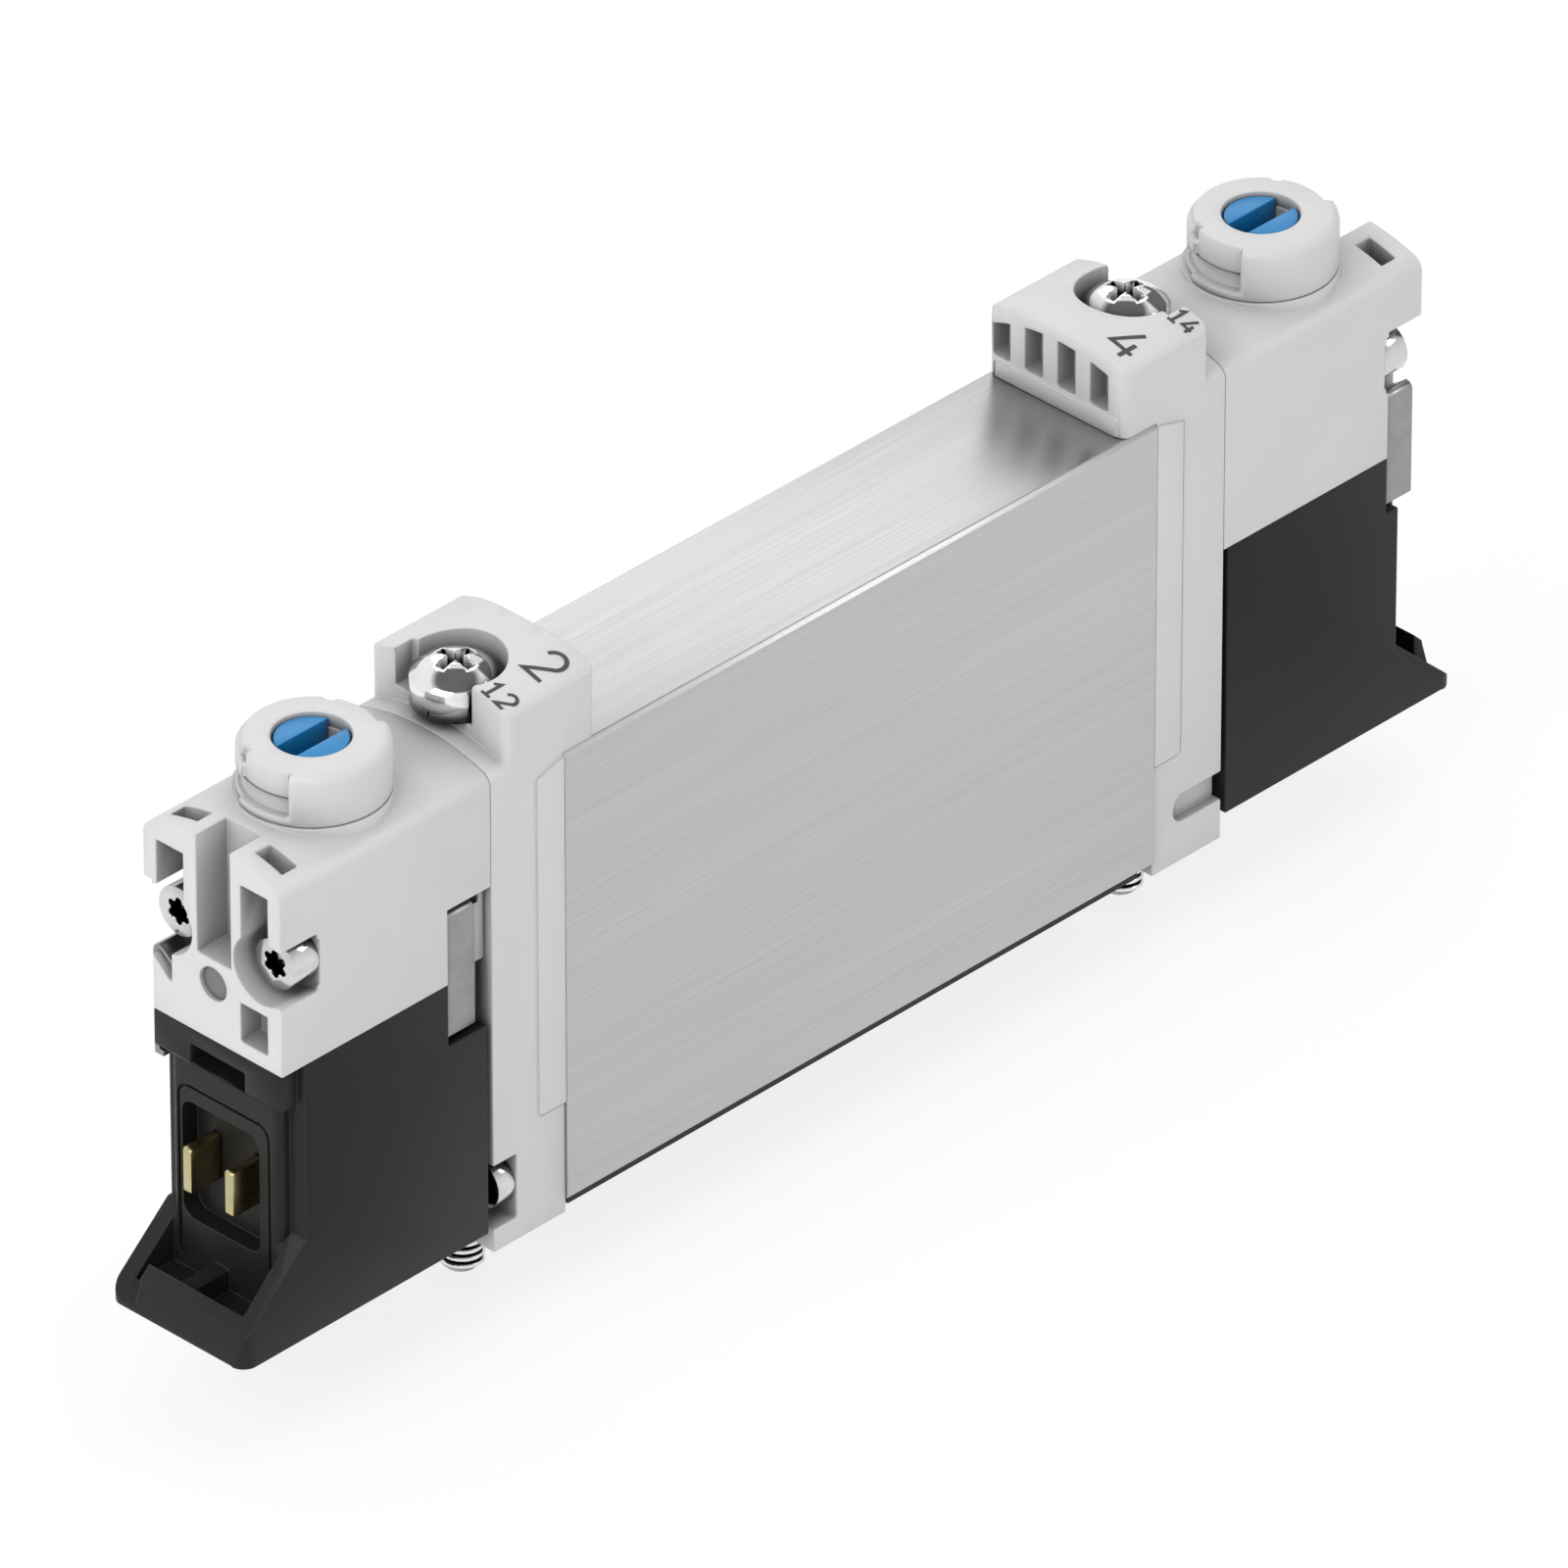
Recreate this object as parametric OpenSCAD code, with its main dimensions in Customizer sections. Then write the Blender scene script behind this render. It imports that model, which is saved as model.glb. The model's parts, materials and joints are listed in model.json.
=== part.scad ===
// Double-solenoid 5/2 pneumatic valve, 10 mm wide, for a sub-base.
// +X runs along the valve from the "12" end to the "14" end, +Z is up, and the
// origin is the mouth of port 1 in the middle of the body's mounting face.
// Both ends are the same parts, turned half a turn about Z. Their modules are
// written for the "14" end, where "out" means towards +X.

/* [Valve body] */
// Width of the whole valve
valve_w = 10; // [9.9:0.1:12]
// Length of the aluminium body
body_len = 43.4; // [42.5:0.1:50]
// Height of the aluminium body
body_h = 27.1; // [26.5:0.1:31]
// How far the plastic ends lie inside the body's two long sides
side_step = 0.12; // [0:0.02:0.3]
// Bevel along the body's two long upper edges
edge_bevel = 0.25; // [0.1:0.05:0.5]

/* [Ports] */
// Diameter of the five air ports
port_d = 3.6; // [2.5:0.1:4.2]
// Depth of each port's straight bore
port_depth = 6; // [4:0.5:8]
// Distance of the outermost ports from the body's ends
port_inset = 8.9; // [8.8:0.1:9.2]
// Diameter of the passage from a port to the spool bore
passage_d = 2.6; // [1.5:0.1:3]
// Diameter of the two vents between the spool bore and the piston chambers
vent_d = 1; // [0.6:0.1:1.2]

/* [Spool] */
// Height of the spool's axis above the mounting face
spool_z = 14; // [13.2:0.1:14.8]
// Diameter of the bore between the seals
bore_d = 5.4; // [5.2:0.1:5.8]
// Diameter of the spool's lands
land_d = 4.8; // [4.4:0.1:5]
// Diameter of the spool between its lands
neck_d = 3; // [2.4:0.1:3.6]
// Stroke of the spool from one end to the other
spool_travel = 2.4; // [2:0.1:2.6]
// Width of each ring seal in the bore
seal_w = 0.9; // [0.7:0.1:1.1]
// Outer diameter of the ring seals
seal_od = 6.8; // [6.4:0.1:7.2]
// Diameter of the piston chambers
chamber_d = 7.6; // [7.2:0.1:7.8]
// Depth of each piston chamber from the body's end
chamber_depth = 5.5; // [5.2:0.1:5.6]
// Thickness of each piston
piston_t = 1.8; // [1.5:0.1:2]
// Running clearance on the radius of sliding parts
run_gap = 0.05; // [0.03:0.01:0.08]

/* [Base gasket] */
// Thickness of the gasket under the body
gasket_t = 0.8; // [0.5:0.1:1.2]
// How far the gasket's edge lies inside the body's outline
gasket_inset = 0.6; // [0.3:0.05:0.8]

/* [End covers] */
// Thickness of an end cover along the valve
cover_t = 5.2; // [5.1:0.1:6]
// Height of the covers' and pilot heads' upper side edges above the body
shoulder_rise = 0.9; // [0.7:0.05:1.3]
// Rise of the crowned tops between their side edges and the middle
crown_h = 0.95; // [0.6:0.05:1.2]
// Length of the raised label block along the valve
block_len = 6.4; // [6.2:0.1:7]
// Set-back of the label block from the cover's outer face
block_setback = 1.2; // [1.1:0.1:1.5]
// Height of the label block's upper side edges above the body
block_rise = 4.05; // [3.8:0.05:4.6]
// Rounding of the label block's edges
block_round = 0.55; // [0.3:0.05:0.7]
// Width of each slot in the block's inner face
slot_w = 1.25; // [1:0.05:1.5]
// Distance between neighbouring slots
slot_pitch = 2.32; // [2.2:0.02:2.4]
// Depth of the slots
slot_depth = 1.3; // [0.8:0.1:1.5]
// Height of the slots' lower edge above the body
slot_rise = 1.25; // [1.1:0.05:1.5]
// Length of the raised side panels next to the body
panel_len = 2; // [1.6:0.1:2.3]
// Height of the panels' lower edges
panel_low = 6; // [5:0.1:7]

/* [Mounting screws] */
// Thread diameter of the mounting screws
screw_d = 2.5; // [2:0.1:2.6]
// Diameter of their plain shank
shank_d = 1.9; // [1.6:0.1:2]
// Length of thread below the covers
screw_reach = 4.1; // [3:0.1:6]
// Diameter of the pan head
head_d = 4.75; // [4.5:0.05:4.8]
// Height of the pan head
head_h = 2.3; // [2:0.1:2.4]
// Distance of the screw's axis from the cover's outer face
screw_inset = 2.45; // [2.4:0.05:2.6]
// Height of the head's seat above the body
seat_rise = 2.35; // [2.2:0.05:2.5]
// Diameter of the counterbore round the head
counterbore_d = 5.3; // [5.1:0.1:5.6]
// Width of the counterbore's open side
mouth_w = 4.3; // [4:0.1:4.6]
// Sideways offset of the counterbore's open side
mouth_offset = 0.9; // [0:0.1:1]

/* [Cover screws] */
// Thread diameter of the cover screws
cover_screw_d = 2; // [1.6:0.1:2.2]
// Diameter of their heads
cover_head_d = 2.8; // [2.4:0.1:3]
// Height of their heads
cover_head_h = 1.2; // [1:0.1:1.4]
// Length of their shanks below the head
cover_screw_len = 8; // [7:0.5:9]

/* [Pilot head] */
// Length of the pilot head along the valve
pilot_len = 14.9; // [14.6:0.1:16]
// Distance of the joint between pilot head and coil below the body's top
split_drop = 10.1; // [9.9:0.1:10.5]
// Rounding of the pilot head's upper side edges
shoulder_round = 0.8; // [0.4:0.1:1.2]
// Width of the channel in the end face
channel_w = 2.4; // [1.8:0.1:2.6]
// Depth of the channel and of the openings beside it
channel_depth = 2.25; // [2:0.05:2.6]
// Thickness of the roof over the end openings
roof_t = 1.1; // [0.8:0.1:1.3]
// Width of the openings in the end face and in the roof
opening_w = 1.9; // [1.5:0.1:2.1]
// Diameter of the indicator lens
lens_d = 1.9; // [1.6:0.1:2.2]

/* [Pilot screws] */
// Diameter of the pilot screws' threads
pilot_screw_d = 1.6; // [1.4:0.1:1.8]
// Diameter of their heads
pilot_head_d = 2.85; // [2.6:0.05:2.85]
// Height of their heads
pilot_head_h = 1.75; // [1.5:0.05:1.9]
// Distance of their axes from the pilot head's sides
pilot_screw_inset = 1.45; // [1.4:0.05:1.5]
// Height of their axes above the joint with the coil
pilot_screw_rise = 5.75; // [5.6:0.05:5.9]
// Diameter of the recess round each head
pilot_recess_d = 3.9; // [3.6:0.1:4]

/* [Clips] */
// Thickness of the clips' sheet
clip_t = 0.35; // [0.25:0.05:0.4]
// Width of the clips
clip_w = 2; // [1.8:0.05:2.05]
// Depth of the flats that the clips lie on
clip_flat = 0.55; // [0.5:0.05:0.65]

/* [Manual override] */
// Diameter of the ring round the override
ring_d = 8.2; // [8:0.1:8.6]
// Height of the ring
ring_h = 3.05; // [2.9:0.05:3.3]
// Thickness of the ring's top
ring_top = 0.8; // [0.6:0.1:1]
// Diameter of the plunger
plunger_d = 3.9; // [3.6:0.1:4.1]
// Width of the screwdriver slot in the plunger
plunger_slot_w = 1.3; // [0.8:0.1:1.4]
// Depth of the screwdriver slot
plunger_slot_depth = 1.5; // [1:0.1:1.7]
// Travel of the plunger when it is pressed
press_travel = 0.8; // [0.6:0.05:0.9]

/* [Coil] */
// Gap between the coil and the end cover
coil_gap = 0.35; // [0.3:0.05:0.6]
// Height of the coil's underside above the mounting face
coil_z = 0.55; // [0.4:0.05:0.8]
// Set-back of the coil's end from the pilot head's end
coil_setback = 1.55; // [1.4:0.05:1.7]
// Set-back of the plug nose from the pilot head's end
nose_setback = 0.76; // [0.7:0.01:0.9]
// Width of the plug nose
nose_w = 7.8; // [7.6:0.1:8]
// Wall of the coil housing
coil_wall = 0.8; // [0.7:0.05:0.9]
// Reach of the foot beyond the pilot head's end
foot_reach = 3; // [2.5:0.1:3.4]
// Height of the foot where it meets the nose
foot_h = 4.25; // [4:0.05:4.6]
// Width of the plug pocket in the nose
pocket_w = 5.55; // [5.3:0.05:5.7]
// Height of the plug pocket
pocket_h = 7.1; // [6.8:0.1:7.3]
// Depth of the plug pocket
pocket_depth = 1.1; // [1:0.05:1.2]
// Distance between the two contact blades
blade_pitch = 3; // [2.8:0.05:3.2]
// Thickness of the blades
blade_t = 0.58; // [0.5:0.02:0.7]
// Height of the blades
blade_h = 2.7; // [2.5:0.1:3]
// Reach of the blades out of the pocket's floor
blade_reach = 2.15; // [1.8:0.05:2.3]

/* [Solenoid] */
// Travel of the armature
armature_travel = 0.6; // [0.4:0.05:0.7]
// Height of the armature above the joint with the coil
armature_rise = 2.8; // [2.6:0.1:3]
// Length of the armature
armature_len = 9.5; // [9:0.1:10]
// Wall of the guide tube
tube_t = 0.3; // [0.2:0.05:0.35]
// Thickness of the steel yoke
yoke_t = 0.9; // [0.7:0.1:1]
// Gap between the winding and the coil housing's inside
winding_gap = 0.2; // [0.15:0.05:0.3]
// Thickness of the winding
winding_t = 1.03; // [1:0.01:1.1]

/* [Hidden] */
$fn = 64;
// A cut runs this far past the face that it opens
cut = 0.1;
half_w = valve_w / 2;
// Half the width of the covers, pilot heads and coils
end_half = half_w - side_step;
body_end = body_len / 2;
cover_end = body_end + cover_t;
pilot_end = cover_end + pilot_len;
cover_foot = -gasket_t;
shoulder_z = body_h + shoulder_rise;
block_z = body_h + block_rise;
split_z = body_h - split_drop;

// Radius of the crowned tops, from their rise over the full width
crown_r = (end_half * end_half + crown_h * crown_h) / (2 * crown_h);

// The coil housing's inside sets the winding, and the winding sets the armature inside it
cavity_w = 2 * (end_half - coil_wall);
yoke_w = cavity_w - 0.4;
winding_d = cavity_w - 2 * winding_gap;
bobbin_t = 0.6;
armature_d = winding_d - 2 * (winding_t + bobbin_t + tube_t + run_gap);

// Ports stand at equal distances; ring seals lie halfway between them, and just past the outer two
port_pitch = (body_end - port_inset) / 2;
seal_sites = [for (i = [-1.5, -0.5, 0.5, 1.5]) i * port_pitch];
end_seal_x = 2 * port_pitch + passage_d / 2 + seal_w + 0.15;
bore_end = body_end - chamber_depth;

// The spool stands at its "12" end; its long lands each serve one outlet
spool_rest = -spool_travel / 2;
land_from = port_pitch / 2 + spool_travel / 2 - seal_w / 2;
land_to = port_pitch * 1.5 - spool_travel / 2 + seal_w / 2;
guide_from = end_seal_x - spool_travel / 2 - seal_w / 2 - 0.1;
piston_from = bore_end + spool_travel / 2 + 0.15;
piston_d = chamber_d - 0.2;
lip_w = 0.8;

// Label block on each cover
block_out = cover_end - block_setback;
block_in = block_out - block_len;
slot_shift = 0.45;
slot_roof = 1;
block_step = 0.08;

// Mounting screw, standing in each cover
screw_x = cover_end - screw_inset;
seat_z = body_h + seat_rise;
recess_d = 2.3;
recess_w = 0.55;

// Cover screws: one low in an open notch, one high under the pilot head
notch_depth = 1.65;
notch_z = [0.6, 4.46];
cover_screw_seat = cover_end - notch_depth;
low_screw = [end_half - 1.48, (notch_z[0] + notch_z[1]) / 2];
high_screw = [1.98 - end_half, body_h - 1.8];
groove_z = [1.65, 3.35];
groove_depth = 0.6;
groove_len = 3.6;

// Air passages: from the pilot to its piston chamber, and from port 1 to the pilot
air_d = 1;
air_y = 2.4;
air_z = split_z + 2.8;
air_turn_x = cover_end - 1.4;
supply_z = 9;
supply_top = split_z + 3.9;
supply_turn_x = cover_end - 0.7;
supply_d = 0.8;
pilot_air_sites = [[air_y, air_z], [-air_y, supply_top]];
pilot_seal_d = 2.2;
pilot_seal_t = 0.5;

// Gasket between body and cover
seal_recess = 0.6;
end_seal_half = chamber_d / 2 + 0.4;
end_seal_low = [body_end, -end_seal_half, supply_z - 1.2];
end_seal_high = [body_end + seal_recess, end_seal_half, spool_z + end_seal_half];

// Pilot head
override_x = pilot_end - 7.15;
crown_top = shoulder_z + crown_h;
ring_seat = crown_top + 0.1;
ring_z = ring_seat + ring_h;
boss_d = 5.8;
boss_z = ring_z - ring_top;
channel_x = pilot_end - channel_depth;
channel_floor = split_z + 4.9;
channel_shift = 0.1;
opening_y = end_half - 1.88;
roof_z = shoulder_z - roof_t + 0.4;
pilot_screw_z = split_z + pilot_screw_rise;
pilot_screw_y = end_half - pilot_screw_inset;
pilot_seat = pilot_end - 2.75;
// Each recess is open to the side through a window of this height and depth
side_window = [2.6, 3.4];
flat_x = pilot_end - 2.45;
flat_top = split_z + 7.75;
flat_low = split_z - 3.4;
flat_y = end_half - clip_flat;
clip_foot = 0.65;
inner_flat_x = cover_end + 3.1;
inner_flat_top = split_z + 4.5;
lens_z = split_z + 3.43;
low_opening = [[1.95, 0.9], [3.85, 3.2]];
lens_sink = 0.25;
lens_t = 0.7;

// Pilot valve chamber and solenoid, all on the override's axis
armature_top = split_z + armature_rise;
armature_foot = armature_top - armature_len;
collar_d = armature_d + 1;
collar_t = 0.6;
poppet_t = 0.6;
poppet_d = 3.2;
poppet_top = armature_top + poppet_t;
room_d = collar_d + 0.8;
room_top = poppet_top + 0.8;
flange_t = 0.5;
flange_d = room_d + 1.3;
core_top = armature_foot - armature_travel - 0.15;
tube_id = armature_d + 2 * run_gap;
tube_od = tube_id + 2 * tube_t;
cavity_floor = coil_z + 0.9;
// The air from port 1 turns here, in front of the pilot valve's room, up to its stem
duct_x = override_x - room_d / 2 - 0.6;
duct_z = room_top + 1;

// Override plunger, its stem and its spring room
plunger_top = ring_z - 0.2;
plunger_bore = plunger_d + 2 * run_gap;
plunger_foot = crown_top - 2.55;
spring_floor = plunger_foot - 2.5;
stem_d = 1.9;
stem_tip = poppet_top + press_travel + 0.05;
oring_z = crown_top - 0.9;
oring_w = 0.9;
groove_d = plunger_d - 1.3;

// Coil housing and plug nose
coil_in = cover_end + coil_gap;
coil_out = pilot_end - coil_setback;
nose_out = pilot_end - nose_setback;
band_z = split_z - 2.6;
band_chamfer = 0.5;
slot_z = [split_z - 2.25, split_z - 0.95];
band_slot_w = 3.9;
band_slot_y = 0.2;
// The plug's pocket and its blades stand a little to the -Y side
plug_y = -0.4;
blade_mid_y = -0.3;
pocket_mid = (coil_z + band_z) / 2 + 0.78;
blade_mid = pocket_mid + 0.17;
rim_low = [plug_y - 3.1, coil_z + 1.2];
rim_high = [plug_y + 3.55, pocket_mid + pocket_h / 2 + 1];
rim_line = 0.2;
cavity_in = coil_in + coil_wall;
cavity_out = coil_out - 1;
foot_tip = pilot_end + foot_reach;
foot_lip = 1.95;
foot_wall = 1;
// The lip ends here towards the -Y side, where the foot slopes straight down
lip_end = -2.9;
rib_w = 1;
rib_y = -0.4;

// Places a part of the "14" end as it is, and one of the "12" end turned half round
module at_end(number) {
    rotate([0, 0, number == 14 ? 0 : 180]) children();
}

// A round bar or bore along X, from x0 to x1
module along_x(x0, x1, d, y = 0, z = 0) {
    translate([x0, y, z]) rotate([0, 90, 0]) cylinder(h = x1 - x0, d = d);
}

// A round bar or bore along Z, from z0 to z1
module along_z(z0, z1, d, x = 0, y = 0) {
    translate([x, y, z0]) cylinder(h = z1 - z0, d = d);
}

// A block between two corners
module block(low, high) {
    translate(low) cube(high - low);
}

// A rectangle between two corners with round corners
module round_rect(low, high, r) {
    translate([low[0] + r, low[1]]) square([high[0] - low[0] - 2 * r, high[1] - low[1]]);
    translate([low[0], low[1] + r]) square([high[0] - low[0], high[1] - low[1] - 2 * r]);
    for (x = [low[0] + r, high[0] - r], y = [low[1] + r, high[1] - r]) {
        translate([x, y]) circle(r = r, $fn = 32);
    }
}

// Turns a drawing in Y and Z into a bar along X
module bar_x(x0, x1) {
    translate([x0, 0, 0]) rotate([90, 0, 90]) linear_extrude(x1 - x0) children();
}

// Turns a drawing in X and Z into a bar along Y
module bar_y(y0, y1) {
    translate([0, y1, 0]) rotate([90, 0, 0]) linear_extrude(y1 - y0) children();
}

// Cross-section with a crowned top: flat sides up to side_z, then an arc, with rounded shoulders
module crowned_section(foot_z, side_z, shoulder_r) {
    crown_mid = side_z + crown_h - crown_r;
    corner_y = end_half - shoulder_r;
    corner_z = crown_mid + sqrt(pow(crown_r - shoulder_r, 2) - pow(corner_y, 2));
    // Where the rounded shoulder runs into the crown
    join_y = corner_y * crown_r / (crown_r - shoulder_r);
    translate([-end_half, foot_z]) square([2 * end_half, corner_z - foot_z]);
    for (side = [-1, 1]) translate([side * corner_y, corner_z]) circle(r = shoulder_r);
    intersection() {
        translate([0, crown_mid]) circle(r = crown_r, $fn = 180);
        translate([-join_y, foot_z]) square([2 * join_y, side_z + 2 * crown_h - foot_z]);
    }
}

// A round wire wound into a spring that stands on z0; its ends are closed
module coil_spring(z0, z1, coil_d, wire_d, turns, x = 0) {
    sides = 6;
    steps = turns * 16;
    rise = z1 - z0 - wire_d;
    rings = [for (i = [0:steps], k = [0:sides - 1])
        let (a = 360 * turns * i / steps, b = 360 * k / sides, r = coil_d / 2 + wire_d / 2 * cos(b))
        [r * cos(a), r * sin(a), rise * i / steps + wire_d / 2 * sin(b)]];
    walls = [for (i = [0:steps - 1], k = [0:sides - 1])
        let (next = (k + 1) % sides)
        [i * sides + k, (i + 1) * sides + k, (i + 1) * sides + next, i * sides + next]];
    start = [for (k = [0:sides - 1]) k];
    finish = [for (k = [sides - 1:-1:0]) steps * sides + k];
    translate([x, 0, z0 + wire_d / 2]) polyhedron(points = rings, faces = concat(walls, [start, finish]));
}

// Valve body

// Cuts for the five ports, each a straight bore and a narrower passage up to the spool
module port_cuts() {
    for (i = [-2:2]) {
        along_z(-cut, port_depth, port_d, x = i * port_pitch);
        along_z(-cut, spool_z, passage_d, x = i * port_pitch);
    }
}

module body_block() {
    low_bevel = edge_bevel / 2;
    color("#bdbdbd") difference() {
        bar_x(-body_end, body_end) polygon([
            [low_bevel - half_w, 0], [half_w - low_bevel, 0], [half_w, low_bevel],
            [half_w, body_h - edge_bevel], [half_w - edge_bevel, body_h],
            [edge_bevel - half_w, body_h], [-half_w, body_h - edge_bevel], [-half_w, low_bevel]
        ]);
        along_x(-body_end - cut, body_end + cut, bore_d, z = spool_z);
        for (side = [-1, 1]) {
            along_x(side * body_end - chamber_depth, side * body_end + chamber_depth, chamber_d, z = spool_z);
            along_x(side * end_seal_x - seal_w / 2, side * end_seal_x + seal_w / 2, seal_od, z = spool_z);
        }
        for (x = seal_sites) along_x(x - seal_w / 2, x + seal_w / 2, seal_od, z = spool_z);
        port_cuts();
        // Way for the pilots' air, from port 1 to both ends
        translate([0, 0, supply_z]) rotate([90, 0, 0]) cylinder(h = 2 * air_y + air_d, d = air_d, center = true);
        for (end = [12, 14]) at_end(end) {
            along_x(-air_d / 2, body_end + cut, air_d, y = -air_y, z = supply_z);
            along_z(-cut, spool_z, vent_d, x = bore_end);
            for (site = [low_screw, high_screw]) {
                along_x(cover_screw_seat - cover_screw_len - 0.5, body_end + cut, cover_screw_d,
                    y = site[0], z = site[1]);
            }
        }
    }
}

module spool_seals() {
    color("#202020") for (x = concat(seal_sites, [-end_seal_x, end_seal_x])) difference() {
        along_x(x - seal_w / 2, x + seal_w / 2, seal_od, z = spool_z);
        along_x(x - seal_w, x + seal_w, land_d + 2 * run_gap, z = spool_z);
    }
}

module base_gasket() {
    inset = gasket_inset;
    color("#1c1c1c") difference() {
        block([inset - body_end, inset - half_w, -gasket_t], [body_end - inset, half_w - inset, 0]);
        for (i = [-2:2]) along_z(-gasket_t - cut, cut, port_d + 0.6, x = i * port_pitch);
        for (side = [-1, 1]) along_z(-gasket_t - cut, cut, vent_d + 0.4, x = side * bore_end);
    }
}

// Spool and pistons, drawn about the middle of the spool's travel and set to its "12" end

module spool() {
    color("#c9c9c4") translate([spool_rest, 0, 0]) {
        along_x(-piston_from, piston_from, neck_d, z = spool_z);
        for (end = [12, 14]) at_end(end) {
            along_x(land_from, land_to, land_d, z = spool_z);
            along_x(guide_from, piston_from, land_d, z = spool_z);
        }
    }
}

module piston(end) {
    color("#e8e4d8") translate([spool_rest, 0, 0]) at_end(end) difference() {
        along_x(piston_from, piston_from + piston_t, piston_d, z = spool_z);
        difference() {
            along_x(piston_from + (piston_t - lip_w) / 2, piston_from + (piston_t + lip_w) / 2,
                chamber_d, z = spool_z);
            along_x(piston_from - cut, piston_from + piston_t + cut, piston_d - 1.2, z = spool_z);
        }
    }
}

module piston_seals() {
    color("#202020") translate([spool_rest, 0, 0]) for (end = [12, 14]) at_end(end) difference() {
        along_x(piston_from + (piston_t - lip_w) / 2, piston_from + (piston_t + lip_w) / 2,
            chamber_d - 2 * run_gap, z = spool_z);
        along_x(piston_from - cut, piston_from + piston_t + cut, piston_d - 1.2, z = spool_z);
    }
}

// End covers

// The raised block, rounded on all its upper and upright edges
module label_block() {
    intersection() {
        bar_x(block_in, block_out) crowned_section(body_h, block_z, block_round + 0.15);
        bar_y(-end_half, end_half) union() {
            translate([block_in + block_round, body_h]) square([block_len - 2 * block_round, 8]);
            translate([block_in, body_h]) square([block_len, block_z + crown_h - block_round - body_h]);
            for (x = [block_in + block_round, block_out - block_round]) {
                translate([x, block_z + crown_h - block_round]) circle(r = block_round, $fn = 32);
            }
        }
        translate([0, 0, body_h]) linear_extrude(8) {
            round_rect([block_in, -end_half], [block_out, end_half], block_round);
        }
    }
    // The foot of the block's inner face stands a little proud
    block([block_in - block_step, block_round - end_half, body_h],
        [block_in + block_round, end_half - block_round, body_h + 1]);
}

// The row of slots in the block's inner face, under a roof that follows the crown
module label_slots() {
    slot_low = body_h + slot_rise;
    intersection() {
        for (i = [-1.5:1.5]) {
            bar_x(block_in - cut, block_in + slot_depth) {
                round_rect([slot_shift + i * slot_pitch - slot_w / 2, slot_low],
                    [slot_shift + i * slot_pitch + slot_w / 2, block_z + 1], 0.2);
            }
        }
        bar_x(block_in - 1, block_in + slot_depth + 1) {
            translate([0, block_z + crown_h - crown_r]) circle(r = crown_r - slot_roof, $fn = 180);
        }
    }
}

// The counterbore round the mounting screw's head, open to the outer side
module head_counterbore() {
    along_z(seat_z, seat_z + 8, counterbore_d, x = screw_x);
    block([screw_x, -mouth_w / 2 - mouth_offset, seat_z], [block_out + 1, mouth_w / 2 - mouth_offset, seat_z + 8]);
}

// Panels next to the body, level with its sides, their upper edges sloping down outwards
module side_panels() {
    bar_y(-half_w, half_w) polygon([
        [body_end, panel_low], [body_end + panel_len - 0.2, panel_low], [body_end + panel_len, panel_low + 0.2],
        [body_end + panel_len, body_h - 0.65], [body_end, body_h - 0.1]
    ]);
}

// The air passages through a cover, past the mounting screw on either side
module cover_air_ways() {
    along_x(body_end - cut, air_turn_x, air_d, y = air_y, z = spool_z);
    along_z(spool_z, air_z, air_d, x = air_turn_x, y = air_y);
    along_x(air_turn_x, cover_end + cut, air_d, y = air_y, z = air_z);
    along_x(body_end - cut, supply_turn_x, air_d, y = -air_y, z = supply_z);
    along_z(supply_z, supply_top, supply_d, x = supply_turn_x, y = -air_y);
    along_x(supply_turn_x, cover_end + cut, supply_d, y = -air_y, z = supply_top);
}

module cover(end) {
    color("#dedede") at_end(end) difference() {
        union() {
            bar_x(body_end, cover_end) crowned_section(cover_foot, shoulder_z, shoulder_round);
            label_block();
            side_panels();
        }
        label_slots();
        head_counterbore();
        along_z(cover_foot - cut, seat_z + cut, screw_d + 0.4, x = screw_x);
        cover_air_ways();
        block(end_seal_low - [cut, 0, 0], end_seal_high);
        for (site = [low_screw, high_screw]) {
            along_x(body_end - cut, cover_end, cover_screw_d, y = site[0], z = site[1]);
            along_x(cover_screw_seat, cover_end + cut, cover_head_d + 0.3, y = site[0], z = site[1]);
        }
        block([cover_screw_seat, low_screw[0] - 1.6, notch_z[0]], [cover_end + cut, half_w + cut, notch_z[1]]);
        for (side = [-1, 1]) {
            along_x(cover_end - 3, cover_end + cut, pilot_screw_d, y = side * pilot_screw_y, z = pilot_screw_z);
        }
        bar_y(-half_w - cut, groove_depth - end_half) {
            round_rect([cover_end - groove_len, groove_z[0]], [cover_end + 1, groove_z[1]], 0.75);
        }
    }
}

module cover_gasket(end) {
    color("#202020") at_end(end) difference() {
        block(end_seal_low, end_seal_high);
        along_x(body_end - cut, body_end + seal_recess + cut, air_d + 0.2, y = air_y, z = spool_z);
        along_x(body_end - cut, body_end + seal_recess + cut, air_d + 0.2, y = -air_y, z = supply_z);
    }
}

module cover_screws(end) {
    color("#b8b8b8") at_end(end) for (site = [low_screw, high_screw]) difference() {
        union() {
            along_x(cover_screw_seat, cover_screw_seat + cover_head_h, cover_head_d, y = site[0], z = site[1]);
            along_x(cover_screw_seat - cover_screw_len, cover_screw_seat, cover_screw_d - 0.04,
                y = site[0], z = site[1]);
        }
        translate([cover_screw_seat + cover_head_h - 0.7, site[0], site[1]]) rotate([0, 90, 0]) {
            cylinder(h = 1, d = 1.3, $fn = 6);
        }
    }
}

// Cross recess: two tapered wings that meet in the middle
module cross_recess(depth) {
    for (turn = [0, 90]) rotate([0, 0, turn]) translate([-recess_d / 2, -recess_w / 2, -depth]) {
        cube([recess_d, recess_w, depth + 1]);
    }
}

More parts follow.
